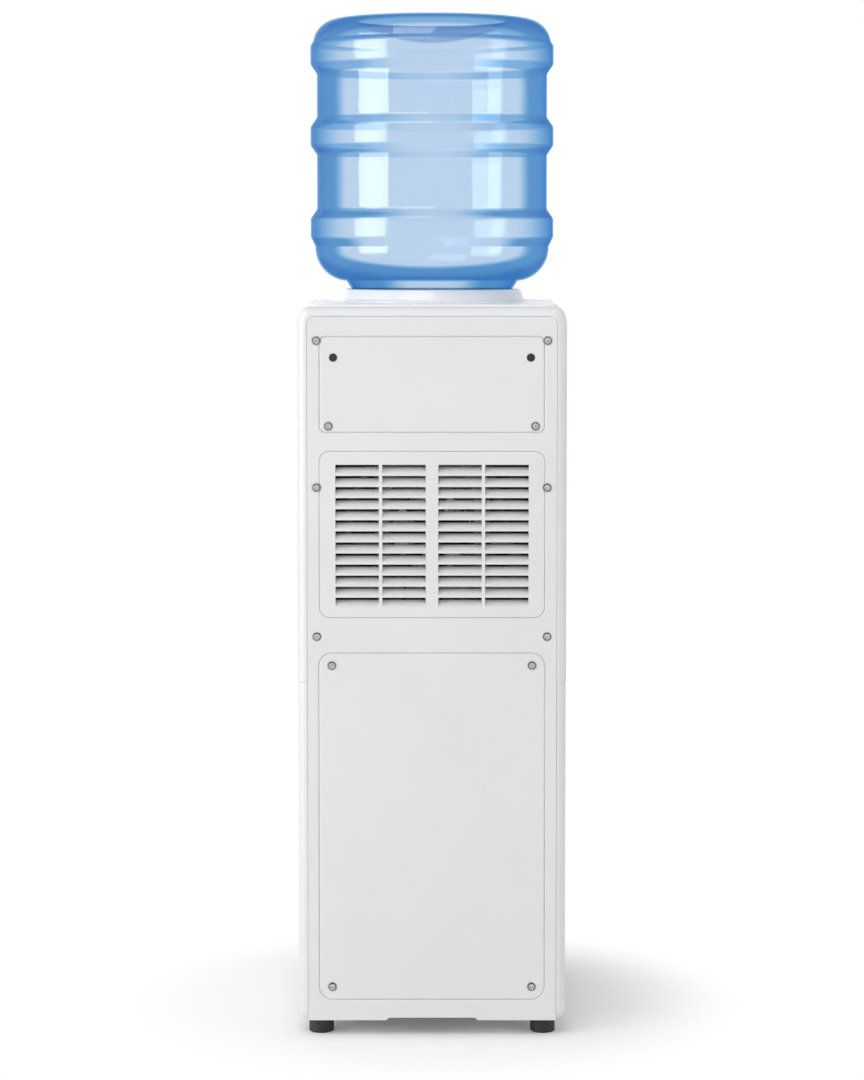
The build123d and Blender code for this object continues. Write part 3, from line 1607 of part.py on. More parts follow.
tube(
    "hot_feed_tube",
    [
        (-tank_tube_x, feed_port_y, tank_port_z),
        (-tube_side_x, feed_port_y, tank_port_z),
        (-tube_side_x, feed_port_y, hot_inlet_z),
        (-hot_tube_x, feed_port_y, hot_inlet_z),
    ],
    [tube_bend, tube_bend],
)
tube(
    "cold_water_tube",
    [
        (tank_tube_x, outlet_port_y, tank_port_z),
        (tube_side_x, outlet_port_y, tank_port_z),
        (tube_side_x, tube_front_y, tank_port_z + tube_low_rise),
        (tap_x, tube_front_y, tap_z),
        (tap_x, tap_tube_y, tap_z),
    ],
    [tube_bend, tube_wide_bend, tube_bend],
)
tube(
    "hot_water_tube",
    [
        (-hot_tube_x, outlet_port_y, hot_outlet_z),
        (-tube_side_x, outlet_port_y, hot_outlet_z),
        (-tube_side_x, tube_front_y, hot_outlet_z + tube_hot_rise),
        (-tap_x, tube_front_y, tap_z),
        (-tap_x, tap_tube_y, tap_z),
    ],
    [tube_bend, tube_wide_bend, tube_bend],
)


# Dispensing recess: a liner behind the opening in the front wall

tap_points = pair(tap_spacing, tap_z)

with BuildPart() as alcove_liner:
    extrude(alcove_outline(front_plane(front_wall_y), alcove_flange), amount=-alcove_flange_thickness)
    extrude(
        alcove_outline(front_plane(front_wall_y), alcove_wall),
        amount=front_wall_y - alcove_outer_back_y,
    )
    extrude(
        alcove_outline(front_plane(front_wall_y), 0),
        amount=front_wall_y - alcove_back_y,
        mode=Mode.SUBTRACT,
    )
    pegs(
        tap_points,
        front_plane,
        alcove_back_y,
        arm_radius + tail_play,
        alcove_wall,
        Mode.SUBTRACT,
    )
save(alcove_liner, "alcove_liner")


# Drip tray in the bottom of the recess, and the slotted grille that lies in it

tray_half_width = alcove_width / 2 - tray_gap
tray_front_y = -half_depth + tray_gap
tray_rear_y = alcove_back_y - tray_gap
tray_low = alcove_bottom + tray_gap
tray_high = tray_low + tray_height
tray_mid_y = (tray_front_y + tray_rear_y) / 2
tray_depth = tray_rear_y - tray_front_y
grille_low = tray_high - drip_grille_thickness

with BuildPart() as drip_tray:
    block((-tray_half_width, tray_front_y, tray_low), (tray_half_width, tray_rear_y, tray_high))
    fillet(drip_tray.edges().filter_by(Axis.Y).group_by(Axis.Z)[0], alcove_bottom_radius - tray_gap)
    inner_half_width = tray_half_width - tray_wall
    block(
        (-inner_half_width, tray_front_y + tray_wall, grille_low),
        (inner_half_width, tray_rear_y - tray_wall, tray_high),
        Mode.SUBTRACT,
    )
    block(
        (-inner_half_width + drip_ledge, tray_front_y + tray_wall + drip_ledge, grille_low - drip_ledge),
        (inner_half_width - drip_ledge, tray_rear_y - tray_wall - drip_ledge, grille_low),
        Mode.SUBTRACT,
    )
    with BuildSketch(Plane.XY.offset(tray_low + tray_wall)):
        with Locations((0, tray_mid_y)):
            RectangleRounded(2 * inner_half_width, tray_depth - 2 * tray_wall, tray_round)
    extrude(amount=grille_low - drip_ledge - tray_low - tray_wall, mode=Mode.SUBTRACT)
    block(
        (-tray_scoop_width / 2, tray_front_y, tray_high - tray_scoop_depth),
        (tray_scoop_width / 2, tray_front_y + tray_wall + drip_ledge, tray_high),
        Mode.SUBTRACT,
    )
save(drip_tray, "drip_tray")

with BuildPart() as drip_grille:
    grille_length = tray_depth - 2 * tray_wall - 2 * drip_grille_gap
    with BuildSketch(Plane.XY.offset(grille_low)):
        with Locations((0, tray_mid_y)):
            Rectangle(2 * (inner_half_width - drip_grille_gap), grille_length)
            with GridLocations(drip_slot_pitch, drip_slot_pitch, drip_slots, 1):
                SlotOverall(
                    grille_length - 2 * drip_slot_margin, drip_slot_width, rotation=90, mode=Mode.SUBTRACT
                )
    extrude(amount=drip_grille_thickness)
    chamfer(drip_grille.faces().sort_by(Axis.Z)[-1].outer_wire().edges(), drip_grille_gap)
save(drip_grille, "drip_grille")


# Taps. Each piece is drawn about its barrel's axis and placed twice, hot at -X and cold at +X

tap_places = [(-tap_x, tap_y, tap_z), (tap_x, tap_y, tap_z)]
hot_tap_place = tap_places[0]
cold_tap_place = tap_places[1]
plug_low = barrel_floor - barrel_below + stem_seat_gap
plug_high = plug_low + stem_plug_height
bonnet_top = barrel_above + bonnet_roof
ear_reach = ear_gap + ear_thickness
cheek_reach = cheek_gap + cheek_width


def placed(label, piece, places):
    with BuildPart() as copies:
        with Locations(*places):
            add(piece)
    save(copies, label)


with BuildPart() as tap_body:
    rod((0, 0, -barrel_below), (0, 0, 1), barrel_radius, barrel_below + barrel_above)
    rod((0, 0, -barrel_below), (0, 0, -1), nozzle_radius, nozzle_length)
    rod((0, 0, 0), (0, 1, 0), arm_radius, tap_reach + tail_length)
    rod((0, tap_reach, 0), (0, -1, 0), tap_flange_radius, tap_flange_thickness)
    rod((0, tap_reach + tail_length, 0), (0, 1, 0), port_radius, barb_length)
    bore_length = barrel_above + barrel_below - barrel_floor
    rod((0, 0, barrel_above), (0, 0, -1), barrel_bore, bore_length, Mode.SUBTRACT)
    rod((0, 0, 0), (0, 0, -1), nozzle_bore, barrel_below + nozzle_length, Mode.SUBTRACT)
    rod((0, 0, 0), (0, 1, 0), port_bore, tap_reach + tail_length + barb_length, Mode.SUBTRACT)
placed("tap_bodies", tap_body.part, tap_places)

with BuildPart() as tap_bonnet:
    rod((0, 0, bonnet_top), (0, 0, -1), barrel_radius + bonnet_wall, bonnet_overlap + bonnet_roof)
    rod((0, 0, barrel_above), (0, 0, -1), barrel_radius + thread_play, bonnet_overlap, Mode.SUBTRACT)
    block(
        (-ear_reach, -pivot_offset - ear_radius, barrel_above + bonnet_roof / 2),
        (ear_reach, -pivot_offset + ear_radius, pivot_rise),
    )
    rod((-ear_reach, -pivot_offset, pivot_rise), (1, 0, 0), ear_radius, 2 * ear_reach)
    block(
        (-ear_gap, -barrel_radius - bonnet_wall, bonnet_top),
        (ear_gap, barrel_radius + bonnet_wall, pivot_rise + ear_radius),
        Mode.SUBTRACT,
    )
    rod((0, 0, bonnet_top), (0, 0, -1), stem_radius + stem_play, bonnet_roof, Mode.SUBTRACT)
    rod(
        (-ear_reach, -pivot_offset, pivot_rise),
        (1, 0, 0),
        pivot_pin_radius + thread_play,
        2 * ear_reach,
        Mode.SUBTRACT,
    )
placed("tap_bonnets", tap_bonnet.part, tap_places)

with BuildPart() as tap_nut:
    with BuildSketch(rear_plane(tap_reach + alcove_wall)):
        RegularPolygon(nut_flats / 2, 6, major_radius=False)
        Circle(arm_radius + thread_play, mode=Mode.SUBTRACT)
    extrude(amount=nut_thickness)
placed("tap_nuts", tap_nut.part, tap_places)

with BuildPart() as tap_pin:
    rod((-ear_reach, -pivot_offset, pivot_rise), (1, 0, 0), pivot_pin_radius, 2 * ear_reach)
placed("tap_pins", tap_pin.part, tap_places)

with BuildPart() as tap_stem:
    rod((0, 0, plug_low), (0, 0, 1), stem_plug_radius, stem_plug_height)
    rod((0, 0, plug_low), (0, 0, 1), stem_radius, pivot_rise + stem_top_rise - plug_low)
    rod((-cheek_reach, 0, pivot_rise), (1, 0, 0), pivot_pin_radius, 2 * cheek_reach)
placed("hot_tap_stem", tap_stem.part, [hot_tap_place])
placed("cold_tap_stem", tap_stem.part, [cold_tap_place])

with BuildPart() as tap_spring:
    rod((0, 0, plug_high), (0, 0, 1), tap_spring_radius, barrel_above - plug_high)
    rod(
        (0, 0, plug_high),
        (0, 0, 1),
        tap_spring_radius - tap_spring_thickness,
        barrel_above - plug_high,
        Mode.SUBTRACT,
    )
placed("hot_tap_spring", tap_spring.part, [hot_tap_place])
placed("cold_tap_spring", tap_spring.part, [cold_tap_place])


def tap_lever(lock_slot):
    # Lever with a handle, two cheeks on the pivot pin and slots for the stem's cross pin
    handle_top = pivot_rise + lever_thickness
    with BuildPart() as lever:
        with BuildSketch(side_plane(-lever_width / 2)):
            with BuildLine():
                Polyline(
                    (-lever_start, pivot_rise),
                    (-lever_flat_reach, pivot_rise),
                    (-lever_reach, pivot_rise + lever_rise),
                    (-lever_reach, handle_top + lever_rise),
                    (-lever_flat_reach, handle_top),
                    (-lever_start, handle_top),
                    close=True,
                )
            make_face()
        extrude(amount=lever_width)
        fillet(lever.edges(), lever_round)
        with BuildSketch(side_plane(-cheek_reach)):
            with Locations((-pivot_offset, pivot_rise)):
                Circle(cheek_radius)
            with BuildLine():
                FilletPolyline(
                    (-pivot_offset, pivot_rise - cheek_radius),
                    (cheek_tail, pivot_rise - cheek_radius),
                    (cheek_tail, pivot_rise + cheek_radius),
                    (-pivot_offset, pivot_rise + cheek_radius),
                    radius=cheek_round,
                )
                Line((-pivot_offset, pivot_rise + cheek_radius), (-pivot_offset, pivot_rise - cheek_radius))
            make_face()
            with BuildLine():
                Polyline(
                    (-pivot_offset, pivot_rise),
                    (-pivot_offset, handle_top - lever_round),
                    (-lever_start - lever_thickness, handle_top - lever_round),
                    (-lever_start - lever_thickness, pivot_rise),
                    close=True,
                )
            make_face()
        extrude(amount=2 * cheek_reach)
        block(
            (-cheek_gap, -bridge_offset, pivot_rise - cheek_radius),
            (cheek_gap, cheek_tail, handle_top),
            Mode.SUBTRACT,
        )
        rod(
            (-cheek_reach, -pivot_offset, pivot_rise),
            (1, 0, 0),
            pivot_pin_radius + thread_play,
            2 * cheek_reach,
            Mode.SUBTRACT,
        )
        with BuildSketch(side_plane(-cheek_reach)):
            with Locations((cross_pin_travel / 2, pivot_rise)):
                SlotCenterToCenter(cross_pin_travel, 2 * (pivot_pin_radius + cross_pin_play))
        extrude(amount=2 * cheek_reach, mode=Mode.SUBTRACT)
        if lock_slot:
            block(
                (
                    -lock_shank_width / 2 - lock_gap,
                    -lock_offset - lock_shank_length / 2 - lock_travel - lock_gap,
                    pivot_rise,
                ),
                (
                    lock_shank_width / 2 + lock_gap,
                    -lock_offset + lock_shank_length / 2 + lock_gap,
                    handle_top,
                ),
                Mode.SUBTRACT,
            )
    return lever.part


placed("hot_tap_lever", tap_lever(True), [hot_tap_place])
placed("cold_tap_lever", tap_lever(False), [cold_tap_place])

with BuildPart() as tap_lock:
    lock_low = pivot_rise - lock_gap - lock_foot_thickness
    pad_low = pivot_rise + lever_thickness + lock_gap
    with Locations((0, -lock_offset, pad_low)):
        Box(lock_width, lock_length, lock_height, align=upwards)
    fillet(tap_lock.edges().group_by(Axis.Z)[-1], lock_round)
    with Locations((0, -lock_offset, lock_low)):
        Box(lock_shank_width, lock_shank_length, pad_low - lock_low, align=upwards)
        Box(
            lock_shank_width + 2 * lock_foot_overlap,
            lock_shank_length + 2 * lock_foot_overlap,
            lock_foot_thickness,
            align=upwards,
        )
placed("hot_tap_lock", tap_lock.part, [hot_tap_place])


# Control panel behind its window, with three lamps and two rocker switches

switch_points = pair(switch_spacing, control_z)
lamp_points = [(-lamp_spacing, control_z), (0, control_z), (lamp_spacing, control_z)]
switch_body_width = bezel_width - 2 * bezel_overhang
switch_body_height = bezel_height - 2 * bezel_overhang
cavity_width = bezel_width - 2 * bezel_border
cavity_height = bezel_height - 2 * bezel_border
rocker_y = front_wall_y + rocker_pivot_depth
rocker_half_width = cavity_width / 2 - rocker_play
switch_places = [(x, front_wall_y, z) for x, z in switch_points]

with BuildPart() as control_panel:
    extrude(control_outline(front_plane(front_wall_y), control_flange), amount=-control_thickness)
    with BuildSketch(front_plane(front_wall_y)):
        with Locations(*switch_points):
            Rectangle(switch_body_width + 2 * lamp_play, switch_body_height + 2 * lamp_play)
    extrude(amount=-control_thickness, mode=Mode.SUBTRACT)
    pegs(lamp_points, front_plane, front_wall_y, lamp_radius + lamp_play, control_thickness, Mode.SUBTRACT)
save(control_panel, "control_panel")

with BuildPart() as indicator_lamps:
    pegs(lamp_points, front_plane, front_wall_y - lamp_proud, lamp_radius, lamp_length)
    fillet(indicator_lamps.edges().group_by(Axis.Y)[0], lamp_proud)
    pegs(
        lamp_points,
        front_plane,
        front_wall_y + control_thickness,
        lamp_flange_radius,
        lamp_flange_thickness,
    )
save(indicator_lamps, "indicator_lamps")

with BuildPart() as switch_body:
    block(
        (-switch_body_width / 2, 0, -switch_body_height / 2),
        (switch_body_width / 2, switch_depth, switch_body_height / 2),
    )
    block(
        (-bezel_width / 2, -bezel_thickness, -bezel_height / 2),
        (bezel_width / 2, 0, bezel_height / 2),
    )
    fillet(switch_body.edges().group_by(Axis.Y)[0], bezel_thickness / 2)
    block(
        (-cavity_width / 2, -bezel_thickness, -cavity_height / 2),
        (cavity_width / 2, switch_cavity_depth, cavity_height / 2),
        Mode.SUBTRACT,
    )
    rod(
        (-cavity_width / 2 - rocker_pin_reach, rocker_pivot_depth, 0),
        (1, 0, 0),
        rocker_pin_radius + bearing_play,
        cavity_width + 2 * rocker_pin_reach,
        Mode.SUBTRACT,
    )
    with Locations(*[(0, switch_depth + terminal_length / 2, z) for z in terminal_levels]):
        Box(terminal_width, terminal_length, terminal_thickness)
placed("switch_bodies", switch_body.part, switch_places)

with BuildPart() as rocker:
    block(
        (-rocker_half_width, -rocker_front, -rocker_length / 2),
        (rocker_half_width, rocker_rear, rocker_length / 2),
    )
    fillet(rocker.edges().filter_by(Axis.X), rocker_round)
    rod((-rocker_half_width, 0, 0), (1, 0, 0), rocker_hub_radius, 2 * rocker_half_width)
    pin_reach = cavity_width / 2 + rocker_pin_reach
    rod((-pin_reach, 0, 0), (1, 0, 0), rocker_pin_radius, 2 * pin_reach)

for label, (x, z) in zip(("hot_switch_rocker", "cold_switch_rocker"), switch_points):
    with BuildPart() as tilted_rocker:
        with Locations((x, rocker_y, z)):
            add(rocker.part, rotation=(-rocker_tilt, 0, 0))
    save(tilted_rocker, label)


# Power board on the base plate's posts

terminal_front_y = board_y - board_depth / 2 + component_margin

with BuildPart() as power_board:
    with Locations((0, board_y, board_bottom)):
        Box(board_width, board_depth, board_thickness, align=upwards)
    with Locations((0, board_y, board_bottom)):
        with GridLocations(board_width - 2 * post_inset, board_depth - 2 * post_inset, 2, 2):
            Cylinder(
                board_pin_radius + board_pin_play, board_thickness, align=upwards, mode=Mode.SUBTRACT
            )
save(power_board, "power_board")

with BuildPart() as board_components:
    with Locations((0, board_y, board_top)):
        with Locations(transformer_place):
            Box(*transformer_size, align=upwards)
        with Locations(*capacitor_places):
            Cylinder(capacitor_radius, capacitor_height, align=upwards)
        with Locations(*relay_places):
            Box(*relay_size, align=upwards)
    with Locations((0, terminal_front_y + terminal_block_size[1] / 2, board_top)):
        Box(*terminal_block_size, align=upwards)
save(board_components, "board_components")


# Leads from the board to the switches, the heater, the thermostats, the Peltier module and the fan


def lead(*points):
    bent_rod(points, lead_bend, lead_radius)


heater_terminal_z = heater_flange_z - heater_terminal_length
thermostat_top = hot_top + thermostat_height
thermostat_turn_z = thermostat_top + lead_bend + tube_clearance
terminal_end_y = front_wall_y + switch_depth + terminal_length
fan_lead_y = (fan_front_y + fan_rear_y) / 2

with BuildPart() as internal_leads:
    for side in (-1, 1):
        for strand, height in enumerate(terminal_levels):
            run_x = side * (lead_side_x + strand * lead_pitch)
            run_y = lead_front_y + strand * lead_pitch
            end_x = side * (lead_bend + strand * lead_pitch)
            lead(
                (side * switch_spacing / 2, terminal_end_y, control_z + height),
                (side * switch_spacing / 2, run_y, control_z + height),
                (run_x, run_y, control_z + height),
                (run_x, run_y, lead_level),
                (end_x, run_y, lead_level),
                (end_x, terminal_front_y, lead_level),
            )
        rod(
            (side * heater_bend_radius, tank_y, board_top),
            (0, 0, 1),
            lead_radius,
            heater_terminal_z - board_top,
        )
        lead(
            (side * thermostat_spacing / 2, tank_y, thermostat_top),
            (side * thermostat_spacing / 2, tank_y, thermostat_turn_z),
            (side * thermostat_lead_x, tank_y, thermostat_turn_z),
            (side * thermostat_lead_x, tank_y, board_top),
        )
        lead(
            (side * peltier_size / 4, peltier_y, sink_z - peltier_size / 2),
            (side * peltier_size / 4, peltier_y, lead_high_level),
            (side * peltier_size / 4, board_lead_y, lead_high_level),
            (side * peltier_size / 4, board_lead_y, board_top),
        )
    lead(
        (fan_lead_x, fan_lead_y, sink_z - fan_size / 2),
        (fan_lead_x, fan_lead_y, lead_high_level),
        (fan_lead_x, board_lead_y, lead_high_level),
        (fan_lead_x, board_lead_y, board_top),
    )
save(internal_leads, "internal_leads")
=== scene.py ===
import json
import math

import bpy
import numpy as np
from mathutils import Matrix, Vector

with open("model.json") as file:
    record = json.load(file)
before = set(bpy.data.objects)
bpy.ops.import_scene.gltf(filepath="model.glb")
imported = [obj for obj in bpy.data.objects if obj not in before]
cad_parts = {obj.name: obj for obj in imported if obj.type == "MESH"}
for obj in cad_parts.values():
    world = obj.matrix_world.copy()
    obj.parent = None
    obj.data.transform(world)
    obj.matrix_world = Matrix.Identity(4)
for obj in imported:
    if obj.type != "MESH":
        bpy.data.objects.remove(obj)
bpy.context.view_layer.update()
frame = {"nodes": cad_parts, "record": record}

slotOf = {part["node"]: part["material_slot"] for part in frame["record"]["subparts"]}
print("frame loaded:", len(frame["nodes"]), "nodes")

alongX, alongY, alongZ = range(3)    # the axes, in the order of a Separate XYZ node's outputs
noiseMiddle = 0.5                    # a noise swings about this value


def tint(red, green, blue):
    # a colour given as it looks on a screen, 0 to 255, turned into the linear values that a shader takes
    screen = np.array([red, green, blue]) / 255
    linear = np.where(screen <= 0.04045, screen / 12.92, ((screen + 0.055) / 1.055) ** 2.4)
    return (*linear.tolist(), 1.0)


class Wire:
    # one output socket of a shader tree, so that shader maths reads as a plain expression
    def __init__(self, tree, socket=None):
        self.tree = tree
        self.socket = socket

    def node(self, kind, settings, inputs, output=0):
        # any node: its type, its settings, then the value or the wire of each socket that is named
        made = self.tree.nodes.new(kind)
        for name, value in settings.items():
            setattr(made, name, value)
        for name, value in inputs.items():
            if isinstance(value, Wire):
                self.tree.links.new(value.socket, made.inputs[name])
            else:
                made.inputs[name].default_value = value
        return Wire(self.tree, made.outputs[output])

    def maths(self, operation, first, second):
        return self.node("ShaderNodeMath", {"operation": operation}, {0: first, 1: second})

    def __add__(self, other):
        return self.maths("ADD", self, other)

    def __sub__(self, other):
        return self.maths("SUBTRACT", self, other)

    def __rsub__(self, other):
        return self.maths("SUBTRACT", other, self)

    def __mul__(self, other):
        return self.maths("MULTIPLY", self, other)

    def __pow__(self, other):
        return self.maths("POWER", self, other)

    __radd__ = __add__
    __rmul__ = __mul__

    def step(self, low, high):
        # 0 below low, 1 above high, a smooth ramp between
        return self.node("ShaderNodeMapRange", {"interpolation_type": "SMOOTHSTEP"},
                         {"Value": self, "From Min": low, "From Max": high})

    def mix(self, first, second):
        # this value as the share of the second colour
        return self.node("ShaderNodeMix", {"data_type": "RGBA"}, {0: self, 6: first, 7: second}, 2)

    def noise(self, scale, detail, roughness=0.5):
        # this vector as the place that the pattern is read at
        return self.node("ShaderNodeTexNoise", {},
                         {"Vector": self, "Scale": scale, "Detail": detail, "Roughness": roughness})

    def streaks(self, scale, detail, roughness=0.5):
        # a noise with its own scale along each axis, so long where that scale is low
        stretched = self.node("ShaderNodeMapping", {}, {"Vector": self, "Scale": scale})
        return stretched.noise(1.0, detail, roughness)

    def part(self, axis):
        return self.node("ShaderNodeSeparateXYZ", {}, {"Vector": self}, axis)

    def fromAxis(self):
        # this place's distance from the upright axis: the square root of x squared plus y squared
        x, y = self.part(alongX), self.part(alongY)
        return (x * x + y * y) ** 0.5

    def upright(self, axis, low, high):
        # 1 where the surface faces along an axis, either way, and 0 where it turns away from it
        lean = self.node("ShaderNodeNewGeometry", {}, {}, "Normal").part(axis)
        return self.maths("ABSOLUTE", lean, 0.0).step(low, high)

    def bump(self, distance, strength=1.0):
        # this height as a normal, distance in metres
        return self.node("ShaderNodeBump", {},
                         {"Height": self, "Distance": distance, "Strength": strength})


def newFinish(name):
    # an empty material, its tree as a bare wire, and the object's own coordinates
    finish = bpy.data.materials.new(name)
    finish.use_nodes = True
    finish.node_tree.nodes.clear()
    wire = Wire(finish.node_tree)
    place = wire.node("ShaderNodeTexCoord", {}, {}, "Object")
    return finish, wire, place


def endWith(surface, kind="ShaderNodeOutputMaterial"):
    # joins a shader to its tree's output
    end = surface.tree.nodes.new(kind)
    surface.tree.links.new(surface.socket, end.inputs["Surface"])


plasticBase = {
    "cloudScale": 9.0,                  # broad clouds of tone
    "cloudTone": (0.3, 0.7),            # the shade starts and is full at these values of the clouds
    "roughSpread": 0.08,                # how far the clouds swing the gloss
    "grainScale": 2600.0,               # the grain of the mould
    "grainDepth": 0.5,
    "rippleScale": 45.0,                # slow waves
    "rippleDepth": 1.5,
    "rubScale": (60.0, 60.0, 700.0),    # thin level rub marks
    "rubShare": (0.66, 0.74),           # they start and are full at these values of their noise
    "rubGloss": 0.06,
    "rubDepth": 0.1,
    "bumpHeight": 0.00003,              # metres
    "ior": 1.49,
    "coat": 0.0,
    "glow": 0.0,                        # light that passes below the skin
    "glowDepth": 0.004,
}


def plasticFinish(name, own):
    # a moulded plastic: broad tone clouds, a fine grain and slow waves in the bump, and thin rub marks
    look = {**plasticBase, **own}
    finish, wire, place = newFinish(name)
    cloud = place.noise(look["cloudScale"], detail=3.0)
    grain = place.noise(look["grainScale"], detail=2.0)
    ripple = place.noise(look["rippleScale"], detail=1.0)
    rub = place.streaks(look["rubScale"], detail=4.0, roughness=0.6).step(*look["rubShare"])
    colour = cloud.step(*look["cloudTone"]).mix(look["colour"], look["shade"])
    rough = look["rough"] + (cloud - noiseMiddle) * look["roughSpread"] + rub * look["rubGloss"]
    height = grain * look["grainDepth"] + ripple * look["rippleDepth"] + rub * look["rubDepth"]
    endWith(wire.node("ShaderNodeBsdfPrincipled", {}, {
        "Base Color": colour,
        "Roughness": rough,
        "Normal": height.bump(look["bumpHeight"]),
        "IOR": look["ior"],
        "Coat Weight": look["coat"],
        "Subsurface Weight": look["glow"],
        "Subsurface Scale": look["glowDepth"]}))
    return finish


metalBase = {
    "cloudScale": 60.0,                    # cloudy plating
    "cloudTone": (0.3, 0.75),
    "cloudGloss": 0.14,
    "cloudDepth": 0.5,
    "lineScale": (900.0, 900.0, 25.0),     # drawn lines, long where the scale is low
    "lineGloss": 0.12,
    "lineDepth": 0.6,
    "spotScale": 350.0,                    # a few duller spots
    "spotShare": (0.68, 0.75),
    "spotGloss": 0.08,
    "headShadeTurned": (0.86, 0.985),           # how squarely a screw's head faces out: painted shade in its recess and round its rim, then its plain flat
    "bumpHeight": 0.00003,
}


def metalFinish(name, own):
    # a metal sheet or bar: drawn lines along one axis, cloudy plating, a few duller spots
    look = {**metalBase, **own}
    finish, wire, place = newFinish(name)
    cloud = place.noise(look["cloudScale"], detail=4.0)
    lines = place.streaks(look["lineScale"], detail=3.0)
    spots = place.noise(look["spotScale"], detail=2.0).step(*look["spotShare"])
    colour = cloud.step(*look["cloudTone"]).mix(look["colour"], look["shade"])
    if "recess" in look:    # painted shade: dark where the head's rim and the cross in it turn away from the head's axis
        colour = wire.upright(alongY, *look["headShadeTurned"]).mix(look["recess"], colour)
    rough = (look["rough"] + (lines - noiseMiddle) * look["lineGloss"]
             + (cloud - noiseMiddle) * look["cloudGloss"] + spots * look["spotGloss"])
    height = lines * look["lineDepth"] + cloud * look["cloudDepth"]
    endWith(wire.node("ShaderNodeBsdfPrincipled", {}, {
        "Base Color": colour,
        "Metallic": 1.0,
        "Roughness": rough,
        "Normal": height.bump(look["bumpHeight"])}))
    return finish


rubberBase = {
    "dustScale": 70.0,          # dusty patches
    "dustTone": (0.45, 0.75),
    "dustGloss": 0.25,
    "skinScale": 3200.0,        # the fine skin
    "skinDepth": 0.6,
    "dentScale": 180.0,         # shallow dents
    "bumpHeight": 0.00005,
    "glow": 0.0,
    "glowDepth": 0.003,
}


def rubberFinish(name, own):
    # soft rubber: dusty matt patches over a fine skin
    look = {**rubberBase, **own}
    finish, wire, place = newFinish(name)
    dust = place.noise(look["dustScale"], detail=5.0, roughness=0.62)
    skin = place.noise(look["skinScale"], detail=2.0)
    dent = place.noise(look["dentScale"], detail=2.0)
    endWith(wire.node("ShaderNodeBsdfPrincipled", {}, {
        "Base Color": dust.step(*look["dustTone"]).mix(look["colour"], look["dust"]),
        "Roughness": look["rough"] + (dust - noiseMiddle) * look["dustGloss"],
        "Normal": (skin * look["skinDepth"] + dent).bump(look["bumpHeight"]),
        "Subsurface Weight": look["glow"],
        "Subsurface Scale": look["glowDepth"]}))
    return finish


foamLook = {
    "colour": tint(246, 244, 236),
    "shade": tint(226, 222, 210),
    "beadScale": 330.0,
    # how strongly painted shade darkens each bead towards its edge
    "beadEdgeShade": 0.9,
    "cloudScale": 12.0,
    "cloudTone": 0.3,
    "shadeShare": (0.25, 0.95),    # the shade colour starts and is full at these sums of bead and cloud: painted shade at the bead edges, random tone from the clouds
    "rough": 0.82,
    "roughSpread": 0.2,
    "bumpHeight": 0.0006,
    "bumpStrength": 0.7,
    "glow": 0.1,
    "glowDepth": 0.004,
}


def foamFinish(name, look):
    # bead foam: each bead a Voronoi cell, rounded in the bump by its distance from the cell's middle, and
    # darker towards its edge as painted shade
    finish, wire, place = newFinish(name)
    bead = wire.node("ShaderNodeTexVoronoi", {}, {"Vector": place, "Scale": look["beadScale"]}, "Distance")
    cloud = place.noise(look["cloudScale"], detail=3.0)
    # painted shade towards each bead's edge, plus random tone from the clouds
    shade = (bead * look["beadEdgeShade"] + cloud * look["cloudTone"]).step(*look["shadeShare"])
    endWith(wire.node("ShaderNodeBsdfPrincipled", {}, {
        "Base Color": shade.mix(look["colour"], look["shade"]),
        "Roughness": look["rough"] + (cloud - noiseMiddle) * look["roughSpread"],
        "Normal": (1 - bead).bump(look["bumpHeight"], look["bumpStrength"]),
        "Subsurface Weight": look["glow"],
        "Subsurface Scale": look["glowDepth"]}))
    return finish


boardLook = {
    "colour": tint(24, 96, 52),
    "shade": tint(30, 108, 60),
    "copper": tint(60, 140, 74),
    "layout": {"offset": 0.37, "squash": 0.7},
    "cells": {"Scale": 130.0, "Mortar Size": 0.045, "Brick Width": 0.9, "Row Height": 0.42},
    "cloudScale": 90.0,
    "cloudDepth": 0.3,
    "rough": 0.32,
    "roughSpread": 0.15,
    "bumpHeight": 0.00006,
}


def boardFinish(name, look):
    # solder resist over copper: cells of resist in two greens, with tracks as the lines between them
    finish, wire, place = newFinish(name)
    cells = {"Vector": place, **look["cells"]}
    colours = {"Color1": look["colour"], "Color2": look["shade"], "Mortar": look["copper"]}
    track = wire.node("ShaderNodeTexBrick", look["layout"], {**cells, **colours}, "Color")
    groove = wire.node("ShaderNodeTexBrick", look["layout"], cells, "Fac")
    cloud = place.noise(look["cloudScale"], detail=3.0)
    endWith(wire.node("ShaderNodeBsdfPrincipled", {}, {
        "Base Color": track,
        "Roughness": look["rough"] + cloud * look["roughSpread"],
        "Normal": (groove + cloud * look["cloudDepth"]).bump(look["bumpHeight"])}))
    return finish


